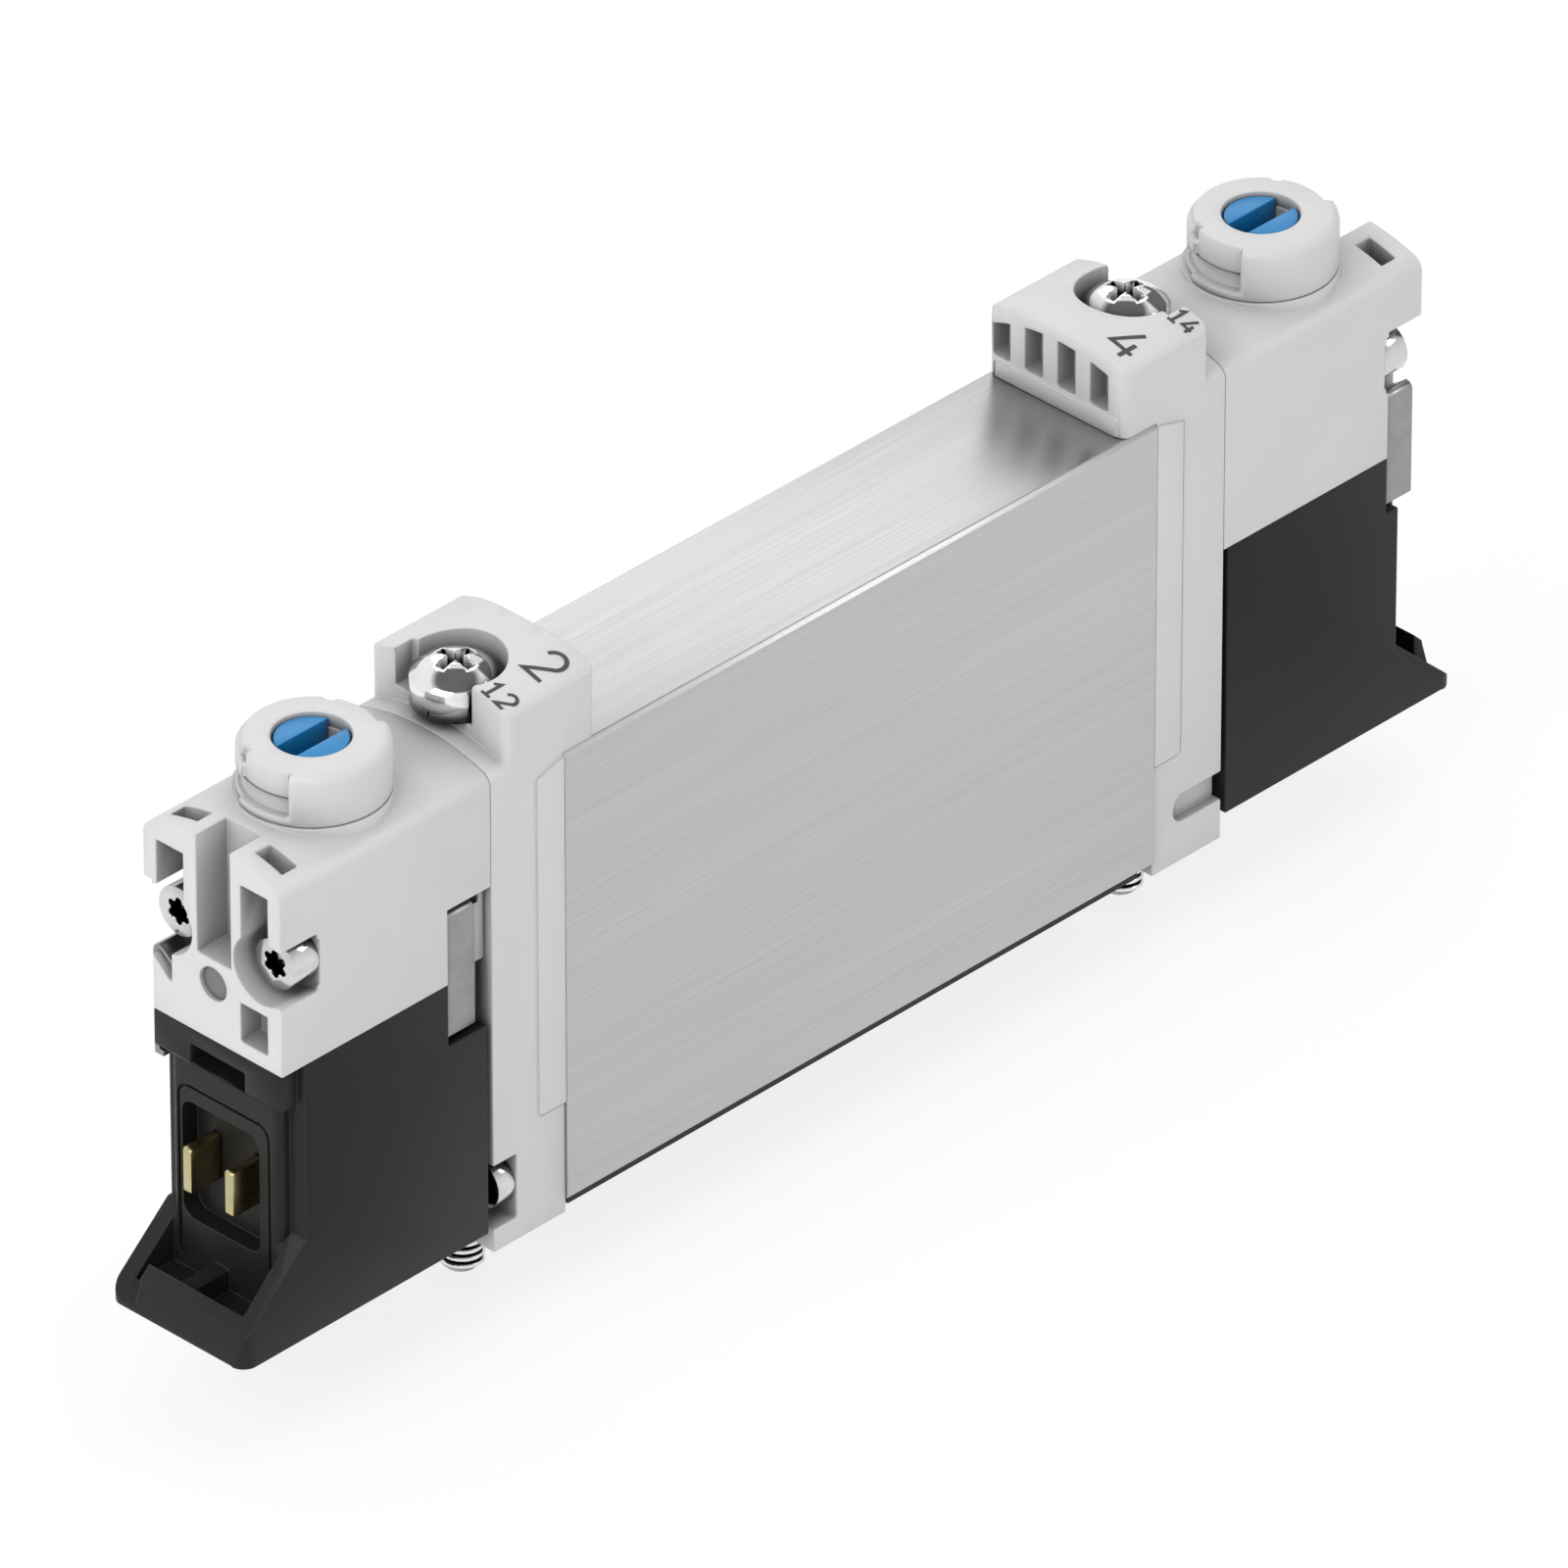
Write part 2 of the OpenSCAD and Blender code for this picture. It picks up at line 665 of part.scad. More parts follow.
module mounting_screw(end) {
    tip = 0.4;
    rim_h = head_h * 0.55;
    dome_r = (pow(head_d / 2, 2) + pow(head_h - rim_h, 2)) / (2 * (head_h - rim_h));
    color("#cfcfcf") at_end(end) translate([screw_x, 0, 0]) {
        difference() {
            translate([0, 0, seat_z]) intersection() {
                cylinder(h = head_h, d = head_d);
                translate([0, 0, head_h - dome_r]) sphere(r = dome_r, $fn = 96);
            }
            translate([0, 0, seat_z + head_h]) cross_recess(1.3);
        }
        along_z(cover_foot, seat_z, shank_d);
        along_z(cover_foot - screw_reach + tip, cover_foot, screw_d);
        translate([0, 0, cover_foot - screw_reach]) cylinder(h = tip, d1 = screw_d - 2 * tip, d2 = screw_d);
    }
}

// Pilot head

// Round openings along the override's axis, from the coil up to the plunger
module override_stack() {
    translate([override_x, 0, 0]) {
        along_z(split_z - cut, split_z + flange_t, flange_d);
        // The pilot valve's seat is the ring that hangs from this room's ceiling
        difference() {
            along_z(split_z - cut, room_top, room_d);
            along_z(poppet_top + 0.02, room_top + cut, stem_d + 1);
        }
        along_z(poppet_top, spring_floor + cut, stem_d + 0.2);
        along_z(spring_floor, boss_z + cut, plunger_bore);
    }
}

// Recess for one pilot screw: its head, the tool's way in, the side window and the hole for its shank
module pilot_screw_way(side) {
    y = side * pilot_screw_y;
    out = side * half_w;
    along_x(cover_end - cut, pilot_end, pilot_screw_d + 0.2, y = y, z = pilot_screw_z);
    along_x(pilot_seat, pilot_end + cut, pilot_recess_d, y = y, z = pilot_screw_z);
    block([pilot_end - side_window[0], min(y, out), pilot_screw_z - side_window[1] / 2],
        [pilot_end + cut, max(y, out), pilot_screw_z + side_window[1] / 2]);
}

// Flats that the two clips lie on: one inside on the +Y side, one outside on the -Y side
module clip_flats() {
    block([flat_x, -half_w - cut, flat_low], [pilot_end + cut, -flat_y, flat_top]);
    block([coil_in - coil_gap - cut, flat_y, flat_low - 0.3], [inner_flat_x, half_w + cut, inner_flat_top]);
}

// Slots that a clip's two bent ends reach into, for a clip on the +Y side from x0 to x1
module clip_slots(x0, x1, top) {
    bar_x(x0, x1) polygon([
        [flat_y + cut, top - 0.6], [flat_y, top - 0.6], [flat_y - 1.1, top - 1.65], [flat_y - 1.35, top - 1.65],
        [flat_y - 1.35, top + 0.6], [flat_y + cut, top + 0.6]
    ]);
}

module pilot_housing(end) {
    color("#dcdcdc") at_end(end) difference() {
        union() {
            bar_x(cover_end, pilot_end) crowned_section(split_z, shoulder_z, shoulder_round);
            along_z(shoulder_z - 1, ring_seat, ring_d + 0.1, x = override_x);
            along_z(shoulder_z - 1, boss_z, boss_d, x = override_x);
        }
        override_stack();
        // Central channel, its two neighbours and the windows in the roof above them
        block([channel_x, channel_shift - channel_w / 2, channel_floor],
            [pilot_end + cut, channel_shift + channel_w / 2, crown_top + 1]);
        for (side = [-1, 1]) {
            y = side * opening_y;
            block([channel_x, y - opening_w / 2, pilot_screw_z], [pilot_end + cut, y + opening_w / 2, roof_z]);
            block([channel_x + 0.1, y - opening_w / 2, roof_z - cut],
                [pilot_end - 1.1, y + opening_w / 2, crown_top + 1]);
            pilot_screw_way(side);
        }
        clip_flats();
        mirror([0, 1, 0]) clip_slots(flat_x, pilot_end + cut, split_z + 3.9);
        clip_slots(cover_end + 0.4, inner_flat_x, inner_flat_top - 0.3);
        along_x(pilot_end - lens_sink - lens_t, pilot_end + cut, lens_d, z = lens_z);
        block([pilot_end - 1.5, low_opening[0][0], split_z + low_opening[0][1]],
            [pilot_end + cut, low_opening[1][0], split_z + low_opening[1][1]]);
        // Air passages and the recesses for their sealing rings
        along_x(cover_end - cut, override_x - 1, air_d, y = air_y, z = air_z);
        along_x(cover_end - cut, duct_x, supply_d, y = -air_y, z = supply_top);
        translate([duct_x, 0, supply_top]) rotate([90, 0, 0]) cylinder(h = air_y, d = supply_d);
        along_z(supply_top, duct_z, supply_d, x = duct_x);
        along_x(duct_x, override_x, supply_d, z = duct_z);
        for (site = pilot_air_sites) {
            along_x(cover_end - cut, cover_end + pilot_seal_t, pilot_seal_d, y = site[0], z = site[1]);
        }
    }
}

module pilot_seals(end) {
    color("#202020") at_end(end) for (site = pilot_air_sites) difference() {
        along_x(cover_end, cover_end + pilot_seal_t, pilot_seal_d, y = site[0], z = site[1]);
        along_x(cover_end - cut, cover_end + pilot_seal_t + cut, air_d + 0.2, y = site[0], z = site[1]);
    }
}

module indicator_lens(end) {
    color("#8c8c8c") at_end(end) {
        along_x(pilot_end - lens_sink - lens_t, pilot_end - lens_sink, lens_d - 0.04, z = lens_z);
    }
}

// A star-shaped drive recess: a round hole with six lobes
module star_recess(depth, size) {
    translate([0, 0, -depth]) linear_extrude(depth + 1) {
        circle(d = size * 0.72, $fn = 32);
        for (a = [0:60:300]) rotate(a) translate([size * 0.36, 0]) circle(d = size * 0.27, $fn = 24);
    }
}

module pilot_screws(end) {
    color("#d4d4d4") at_end(end) for (side = [-1, 1]) difference() {
        union() {
            along_x(pilot_seat, pilot_seat + pilot_head_h, pilot_head_d, y = side * pilot_screw_y, z = pilot_screw_z);
            along_x(cover_end - 2.6, pilot_seat, pilot_screw_d - 0.04, y = side * pilot_screw_y, z = pilot_screw_z);
        }
        translate([pilot_seat + pilot_head_h, side * pilot_screw_y, pilot_screw_z]) rotate([0, 90, 0]) {
            star_recess(0.9, 1.6);
        }
    }
}

// Side view of a clip on the +Y side: upright strip, a bent top that dips inwards and a bent foot
module clip_outline(top, foot) {
    bend = 0.45;
    lip = [1, 0.7];
    outer_y = flat_y + clip_t;
    translate([flat_y, foot]) square([clip_t, top - bend - foot]);
    translate([outer_y - clip_foot, foot]) square([clip_foot, clip_t]);
    difference() {
        translate([outer_y - bend, top - bend]) circle(r = bend, $fn = 48);
        translate([outer_y - bend, top - bend]) circle(r = bend - clip_t, $fn = 24);
        translate([outer_y - 3, top - 3]) square([3 - bend, 3]);
        translate([outer_y - bend - cut, top - 3]) square([3, 3 - bend]);
    }
    polygon([
        [outer_y - bend + 0.02, top], [outer_y - bend + 0.02, top - clip_t],
        [outer_y - bend - lip[0], top - clip_t - lip[1]], [outer_y - bend - lip[0], top - lip[1]]
    ]);
}

module clips(end) {
    outer_x = pilot_end - 0.38 - clip_w;
    color("#a9a9a9") at_end(end) {
        mirror([0, 1, 0]) bar_x(outer_x, outer_x + clip_w) clip_outline(split_z + 3.7, flat_low + 0.4);
        bar_x(inner_flat_x - clip_w - 0.1, inner_flat_x - 0.1) {
            clip_outline(inner_flat_top - 0.5, flat_low + 0.1);
        }
    }
}

// Manual override

// A pie-shaped piece of a ring, between two angles
module ring_sector(z0, z1, inner_d, outer_d, from, to) {
    reach = outer_d;
    middle = (from + to) / 2;
    translate([0, 0, z0]) linear_extrude(z1 - z0) intersection() {
        difference() {
            circle(d = outer_d, $fn = 96);
            circle(d = inner_d, $fn = 96);
        }
        polygon([
            [0, 0], [reach * cos(from), reach * sin(from)], [reach * cos(middle), reach * sin(middle)],
            [reach * cos(to), reach * sin(to)]
        ]);
    }
}

// The ring, its upper edge chamfered; both rings point the same way, as they are seen from the front
module override_ring(end) {
    edge = 0.3;
    grip = 0.25;
    shallow = 0.12;
    color("#ececec") at_end(end) translate([override_x, 0, 0]) rotate([0, 0, end == 14 ? 0 : 180]) difference() {
        union() {
            along_z(ring_seat, ring_z - edge, ring_d);
            translate([0, 0, ring_z - edge]) cylinder(h = edge, d1 = ring_d, d2 = ring_d - 2 * edge);
        }
        along_z(ring_seat - cut, boss_z, boss_d + 0.04);
        along_z(ring_seat, ring_z + cut, plunger_bore + 0.1);
        // The front keeps the full radius, the back is drawn in, and a shallow step lies between them
        ring_sector(ring_seat - cut, ring_z - edge, ring_d - 2 * grip, ring_d + 1, -25, 160);
        ring_sector(ring_z - edge - cut, ring_z + cut, ring_d - 2 * (edge + grip), ring_d + 1, -25, 160);
        ring_sector(ring_seat + 1.3, ring_z + cut, ring_d - 2 * (edge + shallow), ring_d + 1, 160, 208);
        ring_sector(ring_seat + 0.5, ring_seat + 1.4, ring_d - 1.2, ring_d + 1, 130, 208);
        for (notch = [[152, 160], [26, 34]]) {
            ring_sector(ring_z - 0.75, ring_z + cut, ring_d - 1.5, ring_d + 1, notch[0], notch[1]);
        }
    }
}

module override_plunger(end) {
    color("#2f8fd0") at_end(end) translate([override_x, 0, 0]) difference() {
        union() {
            along_z(plunger_foot, plunger_top, plunger_d);
            along_z(stem_tip, plunger_foot, stem_d);
        }
        difference() {
            along_z(oring_z - oring_w / 2, oring_z + oring_w / 2, plunger_d + 1);
            along_z(oring_z - oring_w, oring_z + oring_w, groove_d);
        }
        block([-plunger_d, -plunger_slot_w / 2, plunger_top - plunger_slot_depth],
            [plunger_d, plunger_slot_w / 2, plunger_top + cut]);
    }
}

module override_seal(end) {
    wire = (plunger_bore - groove_d) / 2 - 2 * run_gap;
    color("#202020") at_end(end) translate([override_x, 0, oring_z]) rotate_extrude() {
        translate([groove_d / 2 + run_gap + wire / 2, 0]) circle(d = wire, $fn = 32);
    }
}

module override_spring(end) {
    color("#b0b0b0") at_end(end) {
        coil_spring(spring_floor + 0.02, plunger_foot - 0.05, 2.9, 0.3, 4, override_x);
    }
}

// Solenoid

module coil_housing(end) {
    color("#343230") at_end(end) difference() {
        union() {
            block([coil_in, -end_half, coil_z], [coil_out, end_half, split_z]);
            bar_y(-flat_y, flat_y) polygon([
                [coil_out - 1, band_z], [pilot_end - band_chamfer, band_z], [pilot_end, band_z + band_chamfer],
                [pilot_end, split_z], [coil_out - 1, split_z]
            ]);
            translate([0, 0, coil_z]) linear_extrude(band_z - coil_z + cut) {
                round_rect([coil_out - 2, -nose_w / 2 - 0.1], [nose_out, nose_w / 2 - 0.1], 0.5);
            }
            foot();
        }
        block([cavity_in, -cavity_w / 2, cavity_floor], [cavity_out, cavity_w / 2, split_z + cut]);
        // The pilot's used air leaves here
        along_z(coil_z - cut, cavity_floor + cut, air_d, x = override_x);
        block([flat_x, -half_w - cut, flat_low], [pilot_end + cut, -flat_y, flat_top]);
        block([coil_in - cut, flat_y, flat_low - 0.3], [inner_flat_x, half_w + cut, split_z + cut]);
        // Slots for the feet of the clips
        foot_way = flat_y + clip_t - clip_foot - 0.08;
        block([flat_x, -flat_y - cut, flat_low], [pilot_end + cut, -foot_way, flat_low + 0.8]);
        block([coil_in - cut, foot_way, flat_low - 0.3], [inner_flat_x, flat_y + cut, flat_low + 0.5]);
        // Slot above the plug, and the plug pocket with ways for its blades
        block([pilot_end - 1.4, band_slot_y - band_slot_w / 2, slot_z[0]],
            [pilot_end + cut, band_slot_y + band_slot_w / 2, slot_z[1]]);
        bar_x(nose_out - pocket_depth, nose_out + cut) {
            round_rect([plug_y - pocket_w / 2, pocket_mid - pocket_h / 2],
                [plug_y + pocket_w / 2, pocket_mid + pocket_h / 2], 0.8);
        }
        // Fine groove round the pocket, down to the foot
        bar_x(nose_out - rim_line, nose_out + cut) difference() {
            round_rect(rim_low, rim_high, 0.9);
            translate([rim_low[0] + rim_line, rim_low[1] - cut]) {
                square([rim_high[0] - rim_low[0] - 2 * rim_line, rim_high[1] - rim_low[1] - 0.7]);
            }
            round_rect(rim_low + [rim_line, 0], rim_high - [rim_line, rim_line], 0.7);
        }
        for (side = [-1, 1]) {
            y = blade_mid_y + side * blade_pitch / 2;
            block([cavity_out - cut, y - blade_t / 2, blade_mid - blade_h / 2],
                [nose_out, y + blade_t / 2, blade_mid + blade_h / 2]);
        }
    }
}

// The sloping foot under the nose, hollowed from above with a rib across the hollow
module foot() {
    slope_top = coil_z + foot_h;
    difference() {
        intersection() {
            union() {
                bar_y(-end_half, lip_end + cut) polygon([
                    [coil_out - 1, coil_z], [foot_tip, coil_z], [foot_tip, coil_z + 0.35],
                    [coil_out + 0.25, slope_top], [coil_out - 1, slope_top]
                ]);
                bar_y(lip_end, end_half) polygon([
                    [coil_out - 1, coil_z], [foot_tip, coil_z], [foot_tip, coil_z + 0.2],
                    [foot_tip - 0.35, coil_z + foot_lip], [foot_tip - foot_reach + 0.1, slope_top + 0.2],
                    [coil_out, slope_top + 1.7], [coil_out - 1, slope_top + 1.7]
                ]);
            }
            translate([0, 0, coil_z]) linear_extrude(foot_h + 2) {
                round_rect([coil_out - 2, -end_half], [foot_tip, end_half], 0.9);
            }
        }
        difference() {
            block([nose_out, foot_wall - end_half, coil_z + 1],
                [foot_tip - foot_wall, end_half - foot_wall, slope_top + 2]);
            block([nose_out - 1, rib_y - rib_w / 2, coil_z], [foot_tip, rib_y + rib_w / 2, coil_z + foot_lip + 0.3]);
        }
    }
}

module bobbin(end) {
    low = cavity_floor + yoke_t;
    high = split_z - yoke_t;
    flange = 0.6;
    color("#cfc8b0") at_end(end) translate([override_x, 0, 0]) difference() {
        union() {
            along_z(low, high, tube_od + 2 * bobbin_t);
            along_z(low, low + flange, winding_d + winding_gap);
            along_z(high - flange, high, winding_d + winding_gap);
        }
        along_z(low - cut, high + cut, tube_od + 0.1);
    }
}

module winding(end) {
    low = cavity_floor + yoke_t + 0.6;
    high = split_z - yoke_t - 0.6;
    color("#a4562a") at_end(end) translate([override_x, 0, 0]) difference() {
        along_z(low, high, winding_d);
        along_z(low - cut, high + cut, tube_od + 2 * bobbin_t);
    }
}

module yoke(end) {
    leg_out = override_x - winding_d / 2 - 0.3;
    plate_out = override_x + winding_d / 2;
    color("#8f8f8f") at_end(end) difference() {
        union() {
            block([leg_out - yoke_t, -yoke_w / 2, cavity_floor], [plate_out, yoke_w / 2, cavity_floor + yoke_t]);
            block([leg_out - yoke_t, -yoke_w / 2, split_z - yoke_t], [plate_out, yoke_w / 2, split_z]);
            block([leg_out - yoke_t, -yoke_w / 2, cavity_floor], [leg_out, yoke_w / 2, split_z]);
        }
        along_z(cavity_floor - cut, split_z + cut, tube_od + 0.04, x = override_x);
    }
}

module guide_tube(end) {
    color("#b5b5b5") at_end(end) translate([override_x, 0, 0]) difference() {
        union() {
            along_z(cavity_floor, split_z, tube_od);
            along_z(split_z, split_z + flange_t, flange_d - 0.1);
        }
        along_z(cavity_floor - cut, split_z + flange_t + cut, tube_id);
    }
}

module fixed_core(end) {
    color("#9a9a9a") at_end(end) translate([override_x, 0, 0]) difference() {
        along_z(cavity_floor, core_top, tube_id - 0.02);
        along_z(cavity_floor - cut, core_top + cut, air_d);
    }
}

module armature(end) {
    color("#a2a2a2") at_end(end) translate([override_x, 0, 0]) difference() {
        union() {
            along_z(armature_foot, armature_top, armature_d);
            along_z(armature_top - collar_t, armature_top, collar_d);
        }
        // Flats along the sides let air past the armature
        for (side = [-1, 1]) {
            block([side * armature_d / 2 - 0.3, -0.5, armature_foot - cut],
                [side * armature_d / 2 + 0.3, 0.5, armature_top - collar_t]);
        }
    }
}

module poppet_seal(end) {
    color("#202020") at_end(end) along_z(armature_top, poppet_top, poppet_d, x = override_x);
}

module armature_spring(end) {
    color("#b0b0b0") at_end(end) {
        coil_spring(split_z + flange_t + 0.02, armature_top - collar_t - 0.05, armature_d + 0.55, 0.25, 3, override_x);
    }
}

module contact_blades(end) {
    color("#dcd39a") at_end(end) for (side = [-1, 1]) {
        y = blade_mid_y + side * blade_pitch / 2;
        bar_y(y - blade_t / 2, y + blade_t / 2) {
            round_rect([cavity_out, blade_mid - blade_h / 2],
                [nose_out - pocket_depth + blade_reach, blade_mid + blade_h / 2], 0.2);
        }
    }
}

body_block();
spool_seals();
base_gasket();
spool();
piston(12);  // piston_12
piston(14);  // piston_14
piston_seals();
cover(12);  // cover_12
cover(14);  // cover_14
cover_gasket(12);  // cover_gasket_12
cover_gasket(14);  // cover_gasket_14
cover_screws(12);  // cover_screws_12
cover_screws(14);  // cover_screws_14
mounting_screw(12);  // mounting_screw_12
mounting_screw(14);  // mounting_screw_14
pilot_housing(12);  // pilot_housing_12
pilot_housing(14);  // pilot_housing_14
pilot_seals(12);  // pilot_seals_12
pilot_seals(14);  // pilot_seals_14
coil_housing(12);  // coil_housing_12
coil_housing(14);  // coil_housing_14
bobbin(12);  // bobbin_12
bobbin(14);  // bobbin_14
winding(12);  // winding_12
winding(14);  // winding_14
yoke(12);  // yoke_12
yoke(14);  // yoke_14
fixed_core(12);  // fixed_core_12
fixed_core(14);  // fixed_core_14
guide_tube(12);  // guide_tube_12
guide_tube(14);  // guide_tube_14
armature(12);  // armature_12
armature(14);  // armature_14
poppet_seal(12);  // poppet_seal_12
poppet_seal(14);  // poppet_seal_14
armature_spring(12);  // armature_spring_12
armature_spring(14);  // armature_spring_14
contact_blades(12);  // contact_blades_12
contact_blades(14);  // contact_blades_14
indicator_lens(12);  // indicator_lens_12
indicator_lens(14);  // indicator_lens_14
pilot_screws(12);  // pilot_screws_12
pilot_screws(14);  // pilot_screws_14
clips(12);  // clips_12
clips(14);  // clips_14
override_ring(12);  // override_ring_12
override_ring(14);  // override_ring_14
override_plunger(12);  // override_plunger_12
override_plunger(14);  // override_plunger_14
override_seal(12);  // override_seal_12
override_seal(14);  // override_seal_14
override_spring(12);  // override_spring_12
override_spring(14);  // override_spring_14
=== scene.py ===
"""Dresses a narrow double-solenoid air valve and sets it on a plain pale floor.

The valve lies along X, with its "12" end towards -X and its "14" end towards
+X. All lengths are written in millimetres and turned to metres by MM.
"""

from __future__ import annotations

import json
import logging
import math
from dataclasses import dataclass, field
from enum import Enum
from functools import cache
from typing import Any

import bmesh
import bpy
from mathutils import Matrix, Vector
from mathutils.bvhtree import BVHTree

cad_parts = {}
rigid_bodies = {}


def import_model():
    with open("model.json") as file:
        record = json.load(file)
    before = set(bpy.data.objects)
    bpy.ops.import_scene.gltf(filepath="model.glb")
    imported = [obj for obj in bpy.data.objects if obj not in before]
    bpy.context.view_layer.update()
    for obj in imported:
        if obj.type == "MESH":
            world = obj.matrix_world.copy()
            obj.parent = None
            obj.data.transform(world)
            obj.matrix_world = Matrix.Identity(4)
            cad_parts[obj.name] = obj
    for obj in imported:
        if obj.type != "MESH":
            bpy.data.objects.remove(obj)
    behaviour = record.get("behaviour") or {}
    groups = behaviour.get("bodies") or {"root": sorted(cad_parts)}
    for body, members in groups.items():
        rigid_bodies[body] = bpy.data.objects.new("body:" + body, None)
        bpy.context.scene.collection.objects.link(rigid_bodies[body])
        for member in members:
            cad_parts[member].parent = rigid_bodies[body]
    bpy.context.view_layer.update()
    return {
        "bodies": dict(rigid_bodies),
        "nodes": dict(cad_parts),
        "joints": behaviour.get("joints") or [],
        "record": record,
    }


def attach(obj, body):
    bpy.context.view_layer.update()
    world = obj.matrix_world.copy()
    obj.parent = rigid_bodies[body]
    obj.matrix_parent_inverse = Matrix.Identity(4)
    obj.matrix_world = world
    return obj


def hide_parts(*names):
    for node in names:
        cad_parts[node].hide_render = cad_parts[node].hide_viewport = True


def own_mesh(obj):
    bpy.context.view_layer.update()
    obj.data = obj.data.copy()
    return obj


LOG = logging.getLogger("valve")
MM = 0.001
# Faces that meet at a wider angle than this keep a sharp corner between them
SMOOTH_DEG = 32
# Edges that turn by more than this are rounded
ROUND_DEG = 40
# Points nearer than this are joined
WELD_MM = 0.0005
# Faces that turn by less than this lie in one plane
FLAT_TURN = 0.01
# The part of a noise that is stretched to the full range of a pattern
NOISE_LOW = 0.3
NOISE_HIGH = 0.7
PICTURE_PX = 1600

Colour = tuple[float, float, float, float]
Point = tuple[float, float, float]
Tree = bpy.types.NodeTree
Socket = bpy.types.NodeSocket


class End(Enum):
    """The valve's two ends, named for the pilot that sits there."""

    NEAR = "12"
    FAR = "14"

    @property
    def side(self) -> int:
        """Sign of X at this end."""
        return 1 if self is End.FAR else -1

    def node(self, piece: str) -> str:
        """Name of a paired piece's node at this end."""
        return f"{piece}_{self.value}"


def linear(colour: str) -> Colour:
    """Turns an sRGB hex colour to linear.

    Args:
        colour: six hex digits after a hash sign.

    Returns:
        Red, green and blue as linear values, and an alpha of 1.
    """
    values = []
    for place in (1, 3, 5):
        share = int(colour[place : place + 2], 16) / 255
        values.append(share / 12.92 if share <= 0.04045 else ((share + 0.055) / 1.055) ** 2.4)
    return (values[0], values[1], values[2], 1.0)


def add_node(
    tree: Tree,
    kind: str,
    inputs: dict[str | int, Any] | None = None,
    **settings: Any,
) -> bpy.types.Node:
    """Adds a node with its settings and links.

    Args:
        tree: the tree that the node goes into.
        kind: the node's type name.
        inputs: a value, or a socket to link from, for each named or numbered input.
        **settings: attributes of the node.

    Returns:
        The new node.
    """
    node = tree.nodes.new(kind)
    for name, value in settings.items():
        setattr(node, name, value)
    for name, value in (inputs or {}).items():
        socket = node.inputs[name]
        if isinstance(value, Socket):
            tree.links.new(value, socket)
        else:
            socket.default_value = value
    return node


def new_material(name: str) -> tuple[bpy.types.Material, Tree]:
    """Makes a material with an empty tree.

    Args:
        name: the material's name.

    Returns:
        The material and its tree.
    """
    material = bpy.data.materials.new(name)
    material.use_nodes = True
    material.node_tree.nodes.clear()
    return material, material.node_tree


def painted_recess_shade(
    tree: Tree,
    colour: Socket,
    painted_shade_colour: str,
    reach_mm: float,
    open_from: float = 0.95,
    deep_from: float = 0.25,
) -> Socket:
    """Paints shade into narrow recesses: darkens the colour where little open sky reaches.

    Args:
        tree: the material's tree.
        colour: the colour in the open.
        painted_shade_colour: the painted shade colour deep in a recess, as hex.
        reach_mm: how near the walls of a recess are.
        open_from: the share of open sky above which nothing is darkened.
        deep_from: the share of open sky below which all of the recess colour shows.

    Returns:
        The colour with painted shade in its recesses.
    """
    open_sky = add_node(tree, "ShaderNodeAmbientOcclusion", {"Distance": reach_mm * MM}, samples=6)
    # Painted shade: the share of the shade colour grows as open sky closes in
    shade_share = add_node(
        tree,
        "ShaderNodeMapRange",
        {"Value": open_sky.outputs["AO"], "From Min": open_from, "From Max": deep_from},
    )
    shaded_colour = add_node(
        tree,
        "ShaderNodeMix",
        {"Factor": shade_share.outputs["Result"], "A": colour, "B": linear(painted_shade_colour)},
        data_type="RGBA",
    )
    return shaded_colour.outputs["Result"]


@dataclass(frozen=True)
class Patches:
    """Sockets of soft patches: plain noise, a share from 0 to 1, and the mixed colour."""

    noise: Socket
    share: Socket
    colour: Socket


def soft_patches(
    tree: Tree, size_mm: float, detail: float, colour: str, patch_colour: str
) -> Patches:
    """Spreads soft patches of a second colour over a surface.

    Args:
        tree: the material's tree.
        size_mm: the size of the patches.
        detail: how many finer layers of noise they have.
        colour: the main colour, as hex.
        patch_colour: the colour of the patches, as hex.

    Returns:
        The sockets of the patches.
    """
    place = add_node(tree, "ShaderNodeTexCoord").outputs["Object"]
    scale = 1 / (size_mm * MM)
    noise = add_node(
        tree, "ShaderNodeTexNoise", {"Vector": place, "Scale": scale, "Detail": detail}
    ).outputs["Fac"]
    share = add_node(
        tree, "ShaderNodeMapRange", {"Value": noise, "From Min": NOISE_LOW, "From Max": NOISE_HIGH}
    ).outputs["Result"]
    mixed = add_node(
        tree,
        "ShaderNodeMix",
        {"Factor": share, "A": linear(colour), "B": linear(patch_colour)},
        data_type="RGBA",
    )
    return Patches(noise, share, mixed.outputs["Result"])


def end_material(tree: Tree, values: dict[str, Any]) -> None:
    """Ends a material's tree with its surface.

    Args:
        tree: the material's tree.
        values: a value, or a socket to link from, for each of the surface's inputs.
    """
    surface = add_node(tree, "ShaderNodeBsdfPrincipled", values)
    add_node(tree, "ShaderNodeOutputMaterial", {"Surface": surface.outputs["BSDF"]})


@dataclass(frozen=True)
class Finish:
    """A surface that several pieces can share."""

    name: str

    def paint(self, tree: Tree) -> None:
        """Fills the material's tree.

        Args:
            tree: the empty tree.
        """
        raise NotImplementedError

    def material(self) -> bpy.types.Material:
        """Builds the material."""
        material, tree = new_material(self.name)
        self.paint(tree)
        return material


